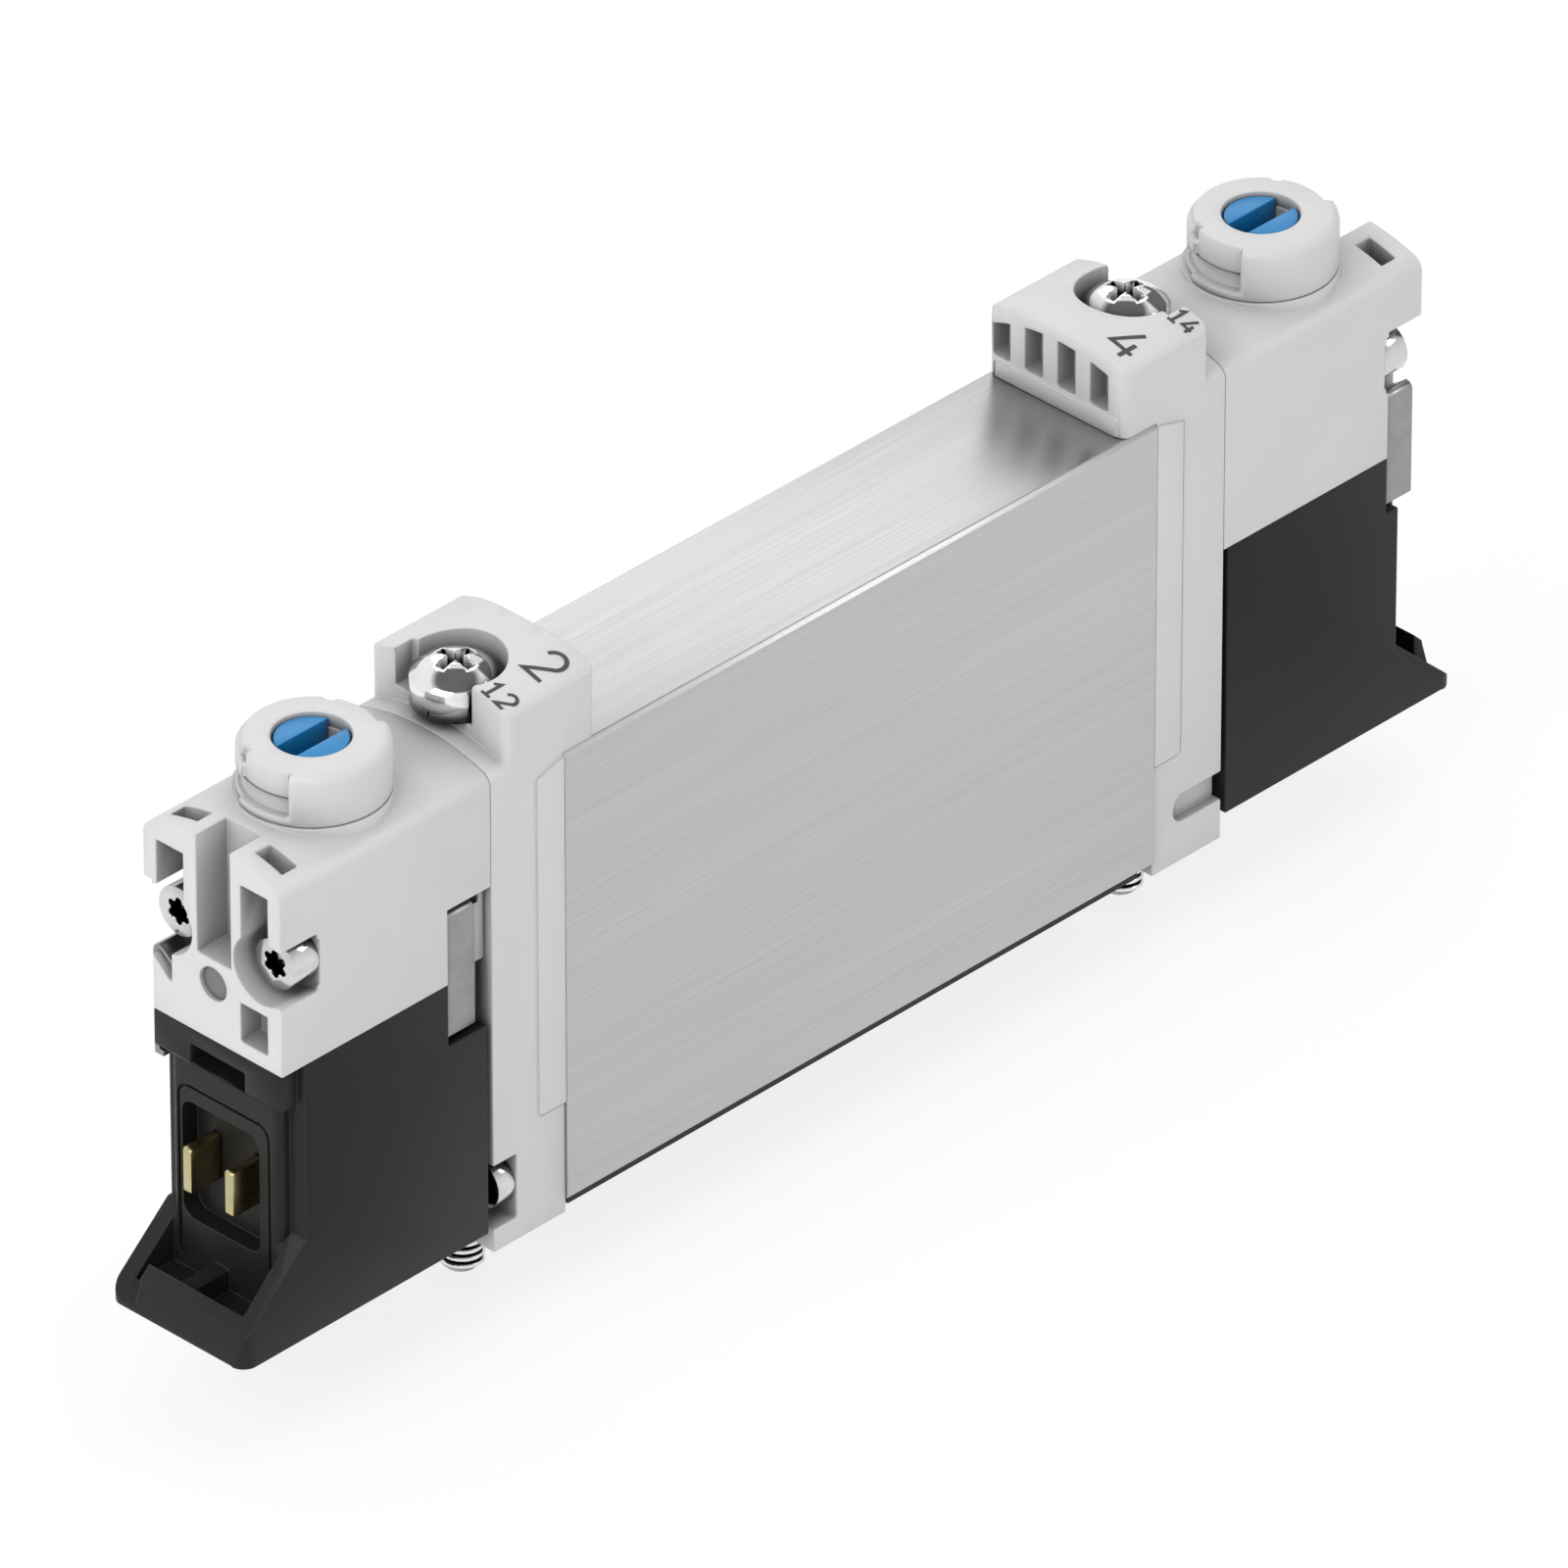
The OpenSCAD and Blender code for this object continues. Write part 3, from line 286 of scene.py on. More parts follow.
@dataclass(frozen=True)
class MouldedPlastic(Finish):
    """Injection-moulded plastic with a fine spark-eroded skin.

    The eye sees an even, slightly soft colour, a broad dull sheen, and edges
    that the mould leaves a tenth of a millimetre round. A paler colour on those
    edges is a painted highlight, and narrow recesses are painted darker as shade.
    """

    colour: str
    cloud_colour: str
    # Paler colour of the painted highlight on rounded edges
    edge_highlight_colour: str
    # Colour of the painted shade deep in narrow recesses; its reach is shade_reach_mm
    painted_shade_colour: str
    roughness: float = 0.5
    roughness_swing: float = 0.05
    # The real grain is about 0.02 mm; it is drawn coarser, or it wouldn't show
    grain_mm: float = 0.09
    grain_height_mm: float = 0.003
    cloud_mm: float = 9.0
    shade_reach_mm: float = 4.0
    edge_mm: float = 0.12
    # Cosines of an edge's turn where the painted edge highlight begins and where it is full
    highlight_begins: float = 0.98
    highlight_full: float = 0.8
    highlight_most: float = 0.7
    ior: float = 1.5

    def paint(self, tree: Tree) -> None:
        """Fills the material's tree."""
        clouds = soft_patches(tree, self.cloud_mm, 2.0, self.colour, self.cloud_colour)
        # Painted shade in narrow recesses and seams
        shaded_colour = painted_recess_shade(tree, clouds.colour, self.painted_shade_colour, self.shade_reach_mm)
        edges = add_node(tree, "ShaderNodeBevel", {"Radius": self.edge_mm * MM}, samples=4)
        flat = add_node(tree, "ShaderNodeNewGeometry")
        turn = add_node(
            tree,
            "ShaderNodeVectorMath",
            {0: edges.outputs["Normal"], 1: flat.outputs["Normal"]},
            operation="DOT_PRODUCT",
        )
        # Painted highlight: edges turn paler where the rounded normal turns away from the flat one
        painted_edge_highlight = add_node(
            tree,
            "ShaderNodeMapRange",
            {
                "Value": turn.outputs["Value"],
                "From Min": self.highlight_begins,
                "From Max": self.highlight_full,
                "To Max": self.highlight_most,
            },
        )
        colour = add_node(
            tree,
            "ShaderNodeMix",
            {"Factor": painted_edge_highlight.outputs["Result"], "A": shaded_colour, "B": linear(self.edge_highlight_colour)},
            data_type="RGBA",
        )
        grain = add_node(
            tree,
            "ShaderNodeTexNoise",
            {
                "Vector": add_node(tree, "ShaderNodeTexCoord").outputs["Object"],
                "Scale": 1 / (self.grain_mm * MM),
                "Detail": 2.0,
                "Roughness": 0.6,
            },
        )
        rough = add_node(
            tree,
            "ShaderNodeMapRange",
            {
                "Value": grain.outputs["Fac"],
                "From Min": NOISE_LOW,
                "From Max": NOISE_HIGH,
                "To Min": self.roughness - self.roughness_swing,
                "To Max": self.roughness + self.roughness_swing,
            },
        )
        bump = add_node(
            tree,
            "ShaderNodeBump",
            {
                "Height": grain.outputs["Fac"],
                "Distance": self.grain_height_mm * MM,
                "Strength": 0.6,
                "Normal": edges.outputs["Normal"],
            },
        )
        surface = {
            "Base Color": colour.outputs["Result"],
            "Roughness": rough.outputs["Result"],
            "IOR": self.ior,
            "Normal": bump.outputs["Normal"],
        }
        end_material(tree, surface)


@dataclass(frozen=True)
class BrushedMetal(Finish):
    """Metal brushed or ground along one axis, so that fine lines run that way.

    The eye sees hair lines of slightly different brightness, long soft bands
    where the belt pressed harder, and a highlight that spreads across them.
    """

    colour: str
    line_colour: str
    roughness: float = 0.36
    roughness_swing: float = 0.05
    # A real hair line is about 0.03 mm wide; it is drawn wider, or it wouldn't show
    line_mm: float = 0.08
    line_length_mm: float = 22.0
    line_height_mm: float = 0.0008
    band_mm: float = 2.6
    band_length_mm: float = 44.0
    band_share: float = 0.14
    # The part of the noise that is stretched to the full range of colour
    line_low: float = 0.35
    line_high: float = 0.65
    along: str = "X"

    def streaks(
        self,
        tree: Tree,
        width_mm: float,
        length_mm: float,
        detail: float,
        roughness: float,
    ) -> Socket:
        """Spreads noise that is drawn out along the brushed axis.

        Args:
            tree: the material's tree.
            width_mm: width of the streaks.
            length_mm: length of the streaks.
            detail: how many finer layers of noise they have.
            roughness: how strong the finer layers are.

        Returns:
            The noise.
        """
        place = add_node(tree, "ShaderNodeTexCoord").outputs["Object"]
        sizes = [length_mm if axis == self.along else width_mm for axis in "XYZ"]
        scale = tuple(1 / (size * MM) for size in sizes)
        drawn = add_node(tree, "ShaderNodeMapping", {"Vector": place, "Scale": scale})
        noise = {
            "Vector": drawn.outputs["Vector"],
            "Scale": 1.0,
            "Detail": detail,
            "Roughness": roughness,
        }
        return add_node(tree, "ShaderNodeTexNoise", noise).outputs["Fac"]

    def paint(self, tree: Tree) -> None:
        """Fills the material's tree."""
        lines = self.streaks(tree, self.line_mm, self.line_length_mm, 3.0, 0.7)
        bands = self.streaks(tree, self.band_mm, self.band_length_mm, 1.0, 0.5)
        blend = add_node(
            tree,
            "ShaderNodeMix",
            {"Factor": self.band_share, "A": lines, "B": bands},
            data_type="FLOAT",
        )
        share = add_node(
            tree,
            "ShaderNodeMapRange",
            {
                "Value": blend.outputs["Result"],
                "From Min": self.line_low,
                "From Max": self.line_high,
            },
        )
        colour = add_node(
            tree,
            "ShaderNodeMix",
            {
                "Factor": share.outputs["Result"],
                "A": linear(self.line_colour),
                "B": linear(self.colour),
            },
            data_type="RGBA",
        )
        rough = add_node(
            tree,
            "ShaderNodeMapRange",
            {
                "Value": share.outputs["Result"],
                "To Min": self.roughness + self.roughness_swing,
                "To Max": self.roughness - self.roughness_swing,
            },
        )
        bump = add_node(
            tree,
            "ShaderNodeBump",
            {"Height": lines, "Distance": self.line_height_mm * MM, "Strength": 0.5},
        )
        surface = {
            "Base Color": colour.outputs["Result"],
            "Roughness": rough.outputs["Result"],
            "Metallic": 1.0,
            "Normal": bump.outputs["Normal"],
        }
        end_material(tree, surface)


@dataclass(frozen=True)
class PlatedMetal(Finish):
    """Smooth plated or drawn metal.

    The eye sees sharp reflections with faint uneven patches from handling, and
    edges that are just round enough to catch the light. Recesses are painted darker as shade.
    """

    colour: str
    patch_colour: str
    # Colour of the painted shade deep in recesses; its reach is shade_reach_mm
    painted_shade_colour: str = "#2E2E2E"
    roughness: float = 0.12
    patch_roughness: float = 0.06
    patch_mm: float = 0.9
    shade_reach_mm: float = 0.9
    open_from: float = 0.95
    deep_from: float = 0.25
    edge_mm: float = 0.06

    def paint(self, tree: Tree) -> None:
        """Fills the material's tree."""
        patches = soft_patches(tree, self.patch_mm, 3.0, self.colour, self.patch_colour)
        rough = add_node(
            tree,
            "ShaderNodeMapRange",
            {
                "Value": patches.share,
                "To Min": self.roughness,
                "To Max": self.roughness + self.patch_roughness,
            },
        )
        # Painted shade in recesses such as the screws' cross and star
        shaded_colour = painted_recess_shade(
            tree,
            patches.colour,
            self.painted_shade_colour,
            self.shade_reach_mm,
            self.open_from,
            self.deep_from,
        )
        edges = add_node(tree, "ShaderNodeBevel", {"Radius": self.edge_mm * MM}, samples=4)
        surface = {
            "Base Color": shaded_colour,
            "Roughness": rough.outputs["Result"],
            "Metallic": 1.0,
            "Normal": edges.outputs["Normal"],
        }
        end_material(tree, surface)


@dataclass(frozen=True)
class Elastomer(Finish):
    """Pressed nitrile rubber.

    The eye sees a nearly black, dull skin with a dusty bloom in patches.
    """

    colour: str
    bloom_colour: str
    roughness: float = 0.62
    bloom_roughness: float = 0.1
    bloom_mm: float = 1.6
    bloom_height_mm: float = 0.004

    def paint(self, tree: Tree) -> None:
        """Fills the material's tree."""
        bloom = soft_patches(tree, self.bloom_mm, 4.0, self.colour, self.bloom_colour)
        rough = add_node(
            tree,
            "ShaderNodeMapRange",
            {
                "Value": bloom.share,
                "To Min": self.roughness,
                "To Max": self.roughness + self.bloom_roughness,
            },
        )
        bump = add_node(
            tree,
            "ShaderNodeBump",
            {"Height": bloom.noise, "Distance": self.bloom_height_mm * MM, "Strength": 0.4},
        )
        surface = {
            "Base Color": bloom.colour,
            "Roughness": rough.outputs["Result"],
            "Normal": bump.outputs["Normal"],
        }
        end_material(tree, surface)


@dataclass(frozen=True)
class WoundWire(Finish):
    """Enamelled copper wire wound in level layers round a vertical axis.

    The eye sees close even rings with a glossy brown lacquer over them. The grooves between the
    turns are painted darker as shade.
    """

    colour: str
    groove_shade_colour: str
    wire_mm: float = 0.14
    groove_mm: float = 0.04
    # A wave texture of scale 1 has a band every 0.314 units
    wave_band: float = 0.314

    def paint(self, tree: Tree) -> None:
        """Fills the material's tree."""
        turns = add_node(
            tree,
            "ShaderNodeTexWave",
            {
                "Vector": add_node(tree, "ShaderNodeTexCoord").outputs["Object"],
                "Scale": self.wave_band / (self.wire_mm * MM),
                "Distortion": 0.3,
            },
            bands_direction="Z",
        )
        bump = add_node(
            tree,
            "ShaderNodeBump",
            {
                "Height": turns.outputs["Fac"],
                "Distance": self.groove_mm * MM,
                "Strength": 0.8,
            },
        )
        # Painted shade: the grooves between the turns are darker
        colour = add_node(
            tree,
            "ShaderNodeMix",
            {
                "Factor": turns.outputs["Fac"],
                "A": linear(self.groove_shade_colour),
                "B": linear(self.colour),
            },
            data_type="RGBA",
        )
        surface = {
            "Base Color": colour.outputs["Result"],
            "Roughness": 0.3,
            "Metallic": 1.0,
            "Normal": bump.outputs["Normal"],
        }
        end_material(tree, surface)


@dataclass(frozen=True)
class PrintedInk(Finish):
    """Pad-printed ink.

    The eye sees a flat, dull film, thin enough that its cover varies a little.
    """

    colour: str
    thin_colour: str
    cover_mm: float = 0.12

    def paint(self, tree: Tree) -> None:
        """Fills the material's tree."""
        cover = soft_patches(tree, self.cover_mm, 2.0, self.colour, self.thin_colour)
        end_material(tree, {"Base Color": cover.colour, "Roughness": 0.6})


# Light grey polyamide of the covers and pilot heads: even and dull, with a painted highlight on its
# edges and painted shade in its recesses
GREY_POLYAMIDE = MouldedPlastic("light_grey_polyamide", "#D0D0D0", "#CCCCCC", "#DCDCDC", "#7A7A7A")
# Black glass-filled polyester of the coils: a warm dark grey skin with a coarser
# grain. Its low IOR is matched to the weak sheen of the real ones
BLACK_POLYESTER = MouldedPlastic(
    "black_glass_filled_polyester",
    "#1F1D1C",
    "#232120",
    "#4C4A47",
    "#191817",
    roughness=0.42,
    shade_reach_mm=1.5,
    grain_mm=0.12,
    ior=1.28,
)
# Blue acetal of the plungers: smoother and a little waxy
BLUE_ACETAL = MouldedPlastic(
    "blue_acetal",
    "#1280BE",
    "#107AB6",
    "#3FA0D6",
    "#0A5C8C",
    roughness=0.38,
    grain_height_mm=0.001,
    edge_mm=0.08,
)
# Grey see-through plastic of the indicators, drawn solid: smooth and shiny
LENS_PLASTIC = MouldedPlastic(
    "grey_lens_plastic",
    "#6C6C6C",
    "#686868",
    "#8A8A8A",
    "#4A4A4A",
    roughness=0.22,
    grain_height_mm=0.001,
)
# Undyed nylon of the bobbins: creamy and dull
BOBBIN_PLASTIC = MouldedPlastic("natural_bobbin_nylon", "#D9CFB2", "#D2C7A8", "#E5DCC2", "#A89E82")
# White acetal of the pistons: turned, so smoother than a moulding
PISTON_PLASTIC = MouldedPlastic(
    "turned_acetal", "#E9E5DA", "#E2DED2", "#F0EDE4", "#B9B5AA", roughness=0.35
)
# Anodised extruded aluminium of the body: fine hair lines along the valve
ALUMINIUM = BrushedMetal("brushed_anodised_aluminium", "#C3C3C3", "#B9B9B9")
# Ground aluminium of the spool: finer lines and a clearer sheen
SPOOL_METAL = BrushedMetal("ground_aluminium", "#D2D2CF", "#C2C2BE", roughness=0.25, line_mm=0.05)
# Soft magnet steel of yoke, core and armature: greyer, its lines upright
MAGNET_STEEL = BrushedMetal("turned_magnet_steel", "#A8A6A2", "#8F8D89", roughness=0.3, along="Z")
# Nickel plating of the screws: mirror-like with dull patches
SCREW_STEEL = PlatedMetal(
    "nickel_plated_steel", "#DADADA", "#CACACA", "#242424", roughness=0.07, shade_reach_mm=1.6
)
# The same plating on the larger mounting screws, with painted shade that makes it nearly black down
# in the cross
HEAD_STEEL = PlatedMetal(
    "nickel_plated_screw",
    "#F0F0F0",
    "#E2E2E2",
    "#0C0C0C",
    roughness=0.05,
    shade_reach_mm=1.8,
    open_from=0.8,
    deep_from=0.55,
)
# Rolled spring steel of the clips: satin
CLIP_STEEL = PlatedMetal("rolled_spring_steel", "#9A9A9A", "#929292", roughness=0.3, shade_reach_mm=0.4)
# Drawn stainless steel of the guide tubes: satin and plain grey
TUBE_STEEL = PlatedMetal("drawn_stainless_steel", "#BDBDBB", "#B2B2B0", roughness=0.22)
# Drawn wire of the springs: bright with dull drawing marks
WIRE_STEEL = PlatedMetal("drawn_spring_wire", "#B0B0B0", "#9C9C9C", roughness=0.25)
# Thin gold plating of the blades: pale yellow and satin
CONTACT_GOLD = PlatedMetal("gold_plated_brass", "#C6BE92", "#BBB184", "#6E6640", roughness=0.25)
# Nitrile rubber of the seals and gaskets: nearly black
RUBBER = Elastomer("nitrile_rubber", "#1B1B1B", "#242424")
# Lacquered copper of the windings: brown, in close rings with painted shade in the grooves
COPPER_WIRE = WoundWire("enamelled_copper_wire", "#B4622F", "#5A2A14")
# Ink of the numbers: dark grey and flat
INK = PrintedInk("dark_grey_ink", "#3E3E3E", "#4A4A4A")


@dataclass(frozen=True)
class Rounding:
    """How far a piece's edges are rounded, and the shortest edge that is."""

    width_mm: float
    least_length_mm: float = 0.0


class Workshop:
    """Keeps one material for each finish and reports what has been built."""

    def __init__(self, frame: dict[str, Any]) -> None:
        """Starts with the loaded frame.
        """
        self.frame = frame
        self.made: dict[str, bpy.types.Material] = {}

    def material(self, finish: Finish) -> bpy.types.Material:
        """Returns the finish's material, built once."""
        if finish.name not in self.made:
            self.made[finish.name] = finish.material()
        return self.made[finish.name]

    def dress(self, node: str, finish: Finish, rounding: Rounding | None = None) -> None:
        """Gives a carried-over node a finish, rounded edges and smooth curved faces.

        Args:
            node: the node's name.
            finish: the finish for all its faces.
            rounding: how its edges are rounded, or None to leave them sharp.
        """
        piece = self.frame["nodes"][node]
        piece.data.materials.clear()
        piece.data.materials.append(self.material(finish))
        weld = piece.modifiers.new("Joined facets", "WELD")
        weld.merge_threshold = WELD_MM * MM
        if rounding is not None:
            self.round_edges(piece, finish, rounding)
        smooth = piece.modifiers.new("Smooth curves", "NODES")
        smooth.node_group = smooth_curves_tree()
        fill_inputs(
            smooth,
            {"Widest Smooth Angle": math.radians(SMOOTH_DEG), "Finish": self.material(finish)},
        )
        LOG.info("dressed %s in %s", node, finish.name)

    def round_edges(self, piece: bpy.types.Object, finish: Finish, rounding: Rounding) -> None:
        """Rounds a piece's sharp edges with live modifiers.

        Args:
            piece: the piece.
            finish: the finish for the faces.
            rounding: which edges are rounded, and how far.
        """
        flat = piece.modifiers.new("Whole flat faces", "DECIMATE")
        flat.decimate_type = "DISSOLVE"
        flat.angle_limit = FLAT_TURN
        choose = piece.modifiers.new("Edges to round", "NODES")
        choose.node_group = edges_to_round_tree()
        fill_inputs(
            choose,
            {
                "Least Turn": math.radians(ROUND_DEG),
                "Least Length": rounding.least_length_mm * MM,
                "Finish": self.material(finish),
            },
        )
        bevel = piece.modifiers.new("Round edges", "BEVEL")
        bevel.width = rounding.width_mm * MM
        bevel.segments = 2
        bevel.limit_method = "WEIGHT"
        bevel.use_clamp_overlap = False
        bevel.loop_slide = False

    def add(self, piece: bpy.types.Object, body: str, finish: Finish, slot: str) -> None:
        """Puts a new piece on its body.

        Args:
            piece: the new piece, in place.
            body: the body that it moves with.
            finish: its finish.
            slot: not used.
        """
        piece.data.materials.clear()
        piece.data.materials.append(self.material(finish))
        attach(piece, body)
        LOG.info("added %s to %s", piece.name, body)


def start_tree(name: str, inputs: dict[str, str]) -> tuple[Tree, Any]:
    """Starts a Geometry Nodes tree with named inputs and one geometry as its result.

    Args:
        name: the tree's name.
        inputs: the kind of socket for each named input, such as Float.

    Returns:
        The tree, and the sockets that give its inputs.
    """
    tree = bpy.data.node_groups.new(name, "GeometryNodeTree")
    for title, kind in inputs.items():
        tree.interface.new_socket(name=title, in_out="INPUT", socket_type=f"NodeSocket{kind}")
    tree.interface.new_socket(name="Result", in_out="OUTPUT", socket_type="NodeSocketGeometry")
    return tree, add_node(tree, "NodeGroupInput").outputs


def end_tree(tree: Tree, geometry: Socket, finish: Socket) -> None:
    """Ends a Geometry Nodes tree with real geometry in its finish.

    Args:
        tree: the tree.
        geometry: the geometry that it has made.
        finish: the input that holds the material.
    """
    real = add_node(tree, "GeometryNodeRealizeInstances", {"Geometry": geometry})
    dressed = add_node(
        tree,
        "GeometryNodeSetMaterial",
        {"Geometry": real.outputs["Geometry"], "Material": finish},
    )
    add_node(tree, "NodeGroupOutput", {"Result": dressed.outputs["Geometry"]})


@cache
def smooth_curves_tree() -> Tree:
    """Builds the tree that smooths curved faces and keeps sharp corners sharp, once."""
    inputs = {"Piece": "Geometry", "Widest Smooth Angle": "Float", "Finish": "Material"}
    tree, given = start_tree("smooth_curves", inputs)
    turn = add_node(tree, "GeometryNodeInputMeshEdgeAngle")
    gentle = add_node(
        tree,
        "FunctionNodeCompare",
        {0: turn.outputs["Unsigned Angle"], 1: given["Widest Smooth Angle"]},
        operation="LESS_EQUAL",
    )
    edges = add_node(
        tree,
        "GeometryNodeSetShadeSmooth",
        {"Geometry": given["Piece"], "Shade Smooth": gentle.outputs["Result"]},
        domain="EDGE",
    )
    faces = add_node(
        tree,
        "GeometryNodeSetShadeSmooth",
        {"Geometry": edges.outputs["Geometry"], "Shade Smooth": True},
        domain="FACE",
    )
    end_tree(tree, faces.outputs["Geometry"], given["Finish"])
    return tree


@cache
def edges_to_round_tree() -> Tree:
    """Builds the tree that marks a piece's sharp, long enough edges for rounding, once."""
    inputs = {
        "Piece": "Geometry",
        "Least Turn": "Float",
        "Least Length": "Float",
        "Finish": "Material",
    }
    tree, given = start_tree("edges_to_round", inputs)
    turn = add_node(tree, "GeometryNodeInputMeshEdgeAngle")
    ends = add_node(tree, "GeometryNodeInputMeshEdgeVertices")
    length = add_node(
        tree,
        "ShaderNodeVectorMath",
        {0: ends.outputs["Position 1"], 1: ends.outputs["Position 2"]},
        operation="DISTANCE",
    )
    tests = (
        (turn.outputs["Unsigned Angle"], given["Least Turn"]),
        (length.outputs["Value"], given["Least Length"]),
    )
    passed = {}
    for place, (value, least) in enumerate(tests):
        test = add_node(tree, "ShaderNodeMath", {0: value, 1: least}, operation="GREATER_THAN")
        passed[place] = test.outputs["Value"]
    weight = add_node(tree, "ShaderNodeMath", passed, operation="MULTIPLY")
    marked = add_node(
        tree,
        "GeometryNodeStoreNamedAttribute",
        {"Geometry": given["Piece"], "Name": "bevel_weight_edge", "Value": weight.outputs["Value"]},
        data_type="FLOAT",
        domain="EDGE",
    )
    end_tree(tree, marked.outputs["Geometry"], given["Finish"])
    return tree


@cache
def thread_tree() -> Tree:
    """Builds the tree that winds a V-shaped ridge round a bare screw core, once."""
    inputs = {
        "Core": "Geometry",
        "Crest Radius": "Float",
        "Ridge Height": "Float",
        "Turns": "Float",
        "Length": "Float",
        "Foot": "Vector",
        "Finish": "Material",
    }
    tree, given = start_tree("wound_thread", inputs)
    middle = add_node(
        tree,
        "ShaderNodeMath",
        {0: given["Crest Radius"], 1: given["Ridge Height"]},
        operation="SUBTRACT",
    )
    helix = add_node(
        tree,
        "GeometryNodeCurveSpiral",
        {
            "Resolution": 28,
            "Rotations": given["Turns"],
            "Start Radius": middle.outputs["Value"],
            "End Radius": middle.outputs["Value"],
            "Height": given["Length"],
            "Reverse": False,
        },
    )
    upright = add_node(
        tree, "GeometryNodeSetCurveNormal", {"Curve": helix.outputs["Curve"]}, mode="Z_UP"
    )
    section = add_node(
        tree,
        "GeometryNodeCurvePrimitiveCircle",
        {"Resolution": 4, "Radius": given["Ridge Height"]},
    )
    ridge = add_node(
        tree,
        "GeometryNodeCurveToMesh",
        {
            "Curve": upright.outputs["Curve"],
            "Profile Curve": section.outputs["Curve"],
            "Fill Caps": True,
        },
    )
    placed = add_node(
        tree,
        "GeometryNodeTransform",
        {"Geometry": ridge.outputs["Mesh"], "Translation": given["Foot"]},
    )
    both = add_node(tree, "GeometryNodeJoinGeometry", {"Geometry": placed.outputs["Geometry"]})
    tree.links.new(given["Core"], both.inputs["Geometry"])
    end_tree(tree, both.outputs["Geometry"], given["Finish"])
    return tree


def fill_inputs(modifier: bpy.types.Modifier, values: dict[str, Any]) -> None:
    """Sets a Geometry Nodes modifier's inputs through their sockets' identifiers.

    Args:
        modifier: the modifier, with its tree.
        values: the value for each named input.
    """
    for socket in modifier.node_group.interface.items_tree:
        if socket.in_out == "INPUT" and socket.name in values:
            modifier[socket.identifier] = values[socket.name]


def new_object(name: str, data: bpy.types.ID) -> bpy.types.Object:
    """Makes an object at the origin and links it to the scene.

    Args:
        name: the object's name.
        data: its mesh, lamp or camera.

    Returns:
        The object.
    """
    item = bpy.data.objects.new(name, data)
    bpy.context.scene.collection.objects.link(item)
    return item


def plain_mesh(piece: bpy.types.Object) -> None:
    """Turns a piece's modifiers into its mesh.

    Args:
        piece: the piece, which keeps its name and loses its modifiers.
    """
    graph = bpy.context.evaluated_depsgraph_get()
    mesh = bpy.data.meshes.new_from_object(piece.evaluated_get(graph))
    piece.modifiers.clear()
    piece.data = mesh
    mesh.name = piece.name


def mesh_object(name: str, verts: list[Point], faces: list[tuple[int, ...]]) -> bpy.types.Object:
    """Makes a mesh object at the origin.

    Args:
        name: the object's name.
        verts: its points, in metres.
        faces: its faces.

    Returns:
        The object, linked to the scene.
    """
    mesh = bpy.data.meshes.new(name)
    mesh.from_pydata(verts, [], faces)
    mesh.update()
    return new_object(name, mesh)


@dataclass
class ValveBody:
    """The aluminium body with its spool, seals and base gasket."""

    def build(self, shop: Workshop) -> None:
        """Dresses the body's pieces."""
        shop.dress("body_block", ALUMINIUM, Rounding(0.05, 0.25))
        shop.dress("spool", SPOOL_METAL)
        shop.dress("piston_12", PISTON_PLASTIC)
        shop.dress("piston_14", PISTON_PLASTIC)
        for node in ("spool_seals", "piston_seals", "base_gasket"):
            shop.dress(node, RUBBER)


@dataclass
class EndUnit:
    """One end of the valve: cover, pilot head, override and solenoid."""

    end: End

    def build(self, shop: Workshop) -> None:
        """Dresses the end's pieces."""
        dressing: list[tuple[str, Finish, Rounding | None]] = [
            ("cover", GREY_POLYAMIDE, Rounding(0.09)),
            ("pilot_housing", GREY_POLYAMIDE, Rounding(0.09)),
            ("override_ring", GREY_POLYAMIDE, Rounding(0.18)),
            ("coil_housing", BLACK_POLYESTER, Rounding(0.09, 0.25)),
            ("override_plunger", BLUE_ACETAL, Rounding(0.08)),
            ("indicator_lens", LENS_PLASTIC, None),
            ("bobbin", BOBBIN_PLASTIC, None),
            ("cover_screws", SCREW_STEEL, Rounding(0.05)),
            ("pilot_screws", SCREW_STEEL, Rounding(0.05)),
            ("clips", CLIP_STEEL, Rounding(0.04)),
            ("contact_blades", CONTACT_GOLD, Rounding(0.08)),
            ("guide_tube", TUBE_STEEL, None),
            ("armature", MAGNET_STEEL, None),
            ("fixed_core", MAGNET_STEEL, None),
            ("yoke", MAGNET_STEEL, None),
            ("winding", COPPER_WIRE, None),
            ("armature_spring", WIRE_STEEL, None),
            ("override_spring", WIRE_STEEL, None),
            ("cover_gasket", RUBBER, None),
            ("pilot_seals", RUBBER, None),
            ("poppet_seal", RUBBER, None),
            ("override_seal", RUBBER, None),
        ]
        for piece, finish, rounding in dressing:
            shop.dress(self.end.node(piece), finish, rounding)
        self.shorten_spring(shop, "armature_spring", "armature_slide")
        self.shorten_spring(shop, "override_spring", "override_press")
        MountingScrew(self.end).build(shop)

    def shorten_spring(
        self, shop: Workshop, spring: str, joint: str
    ) -> None:
        """Lets a spring shorten as the piece that presses on it moves down.

        Args:
            shop: the workshop, which holds the spring's node.
            spring: the spring's name, without its end.
            joint: the joint of the piece that presses on it, without its end; not used.
        """
        node = shop.frame["nodes"][self.end.node(spring)]
        self.end.node(joint)
        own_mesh(node)


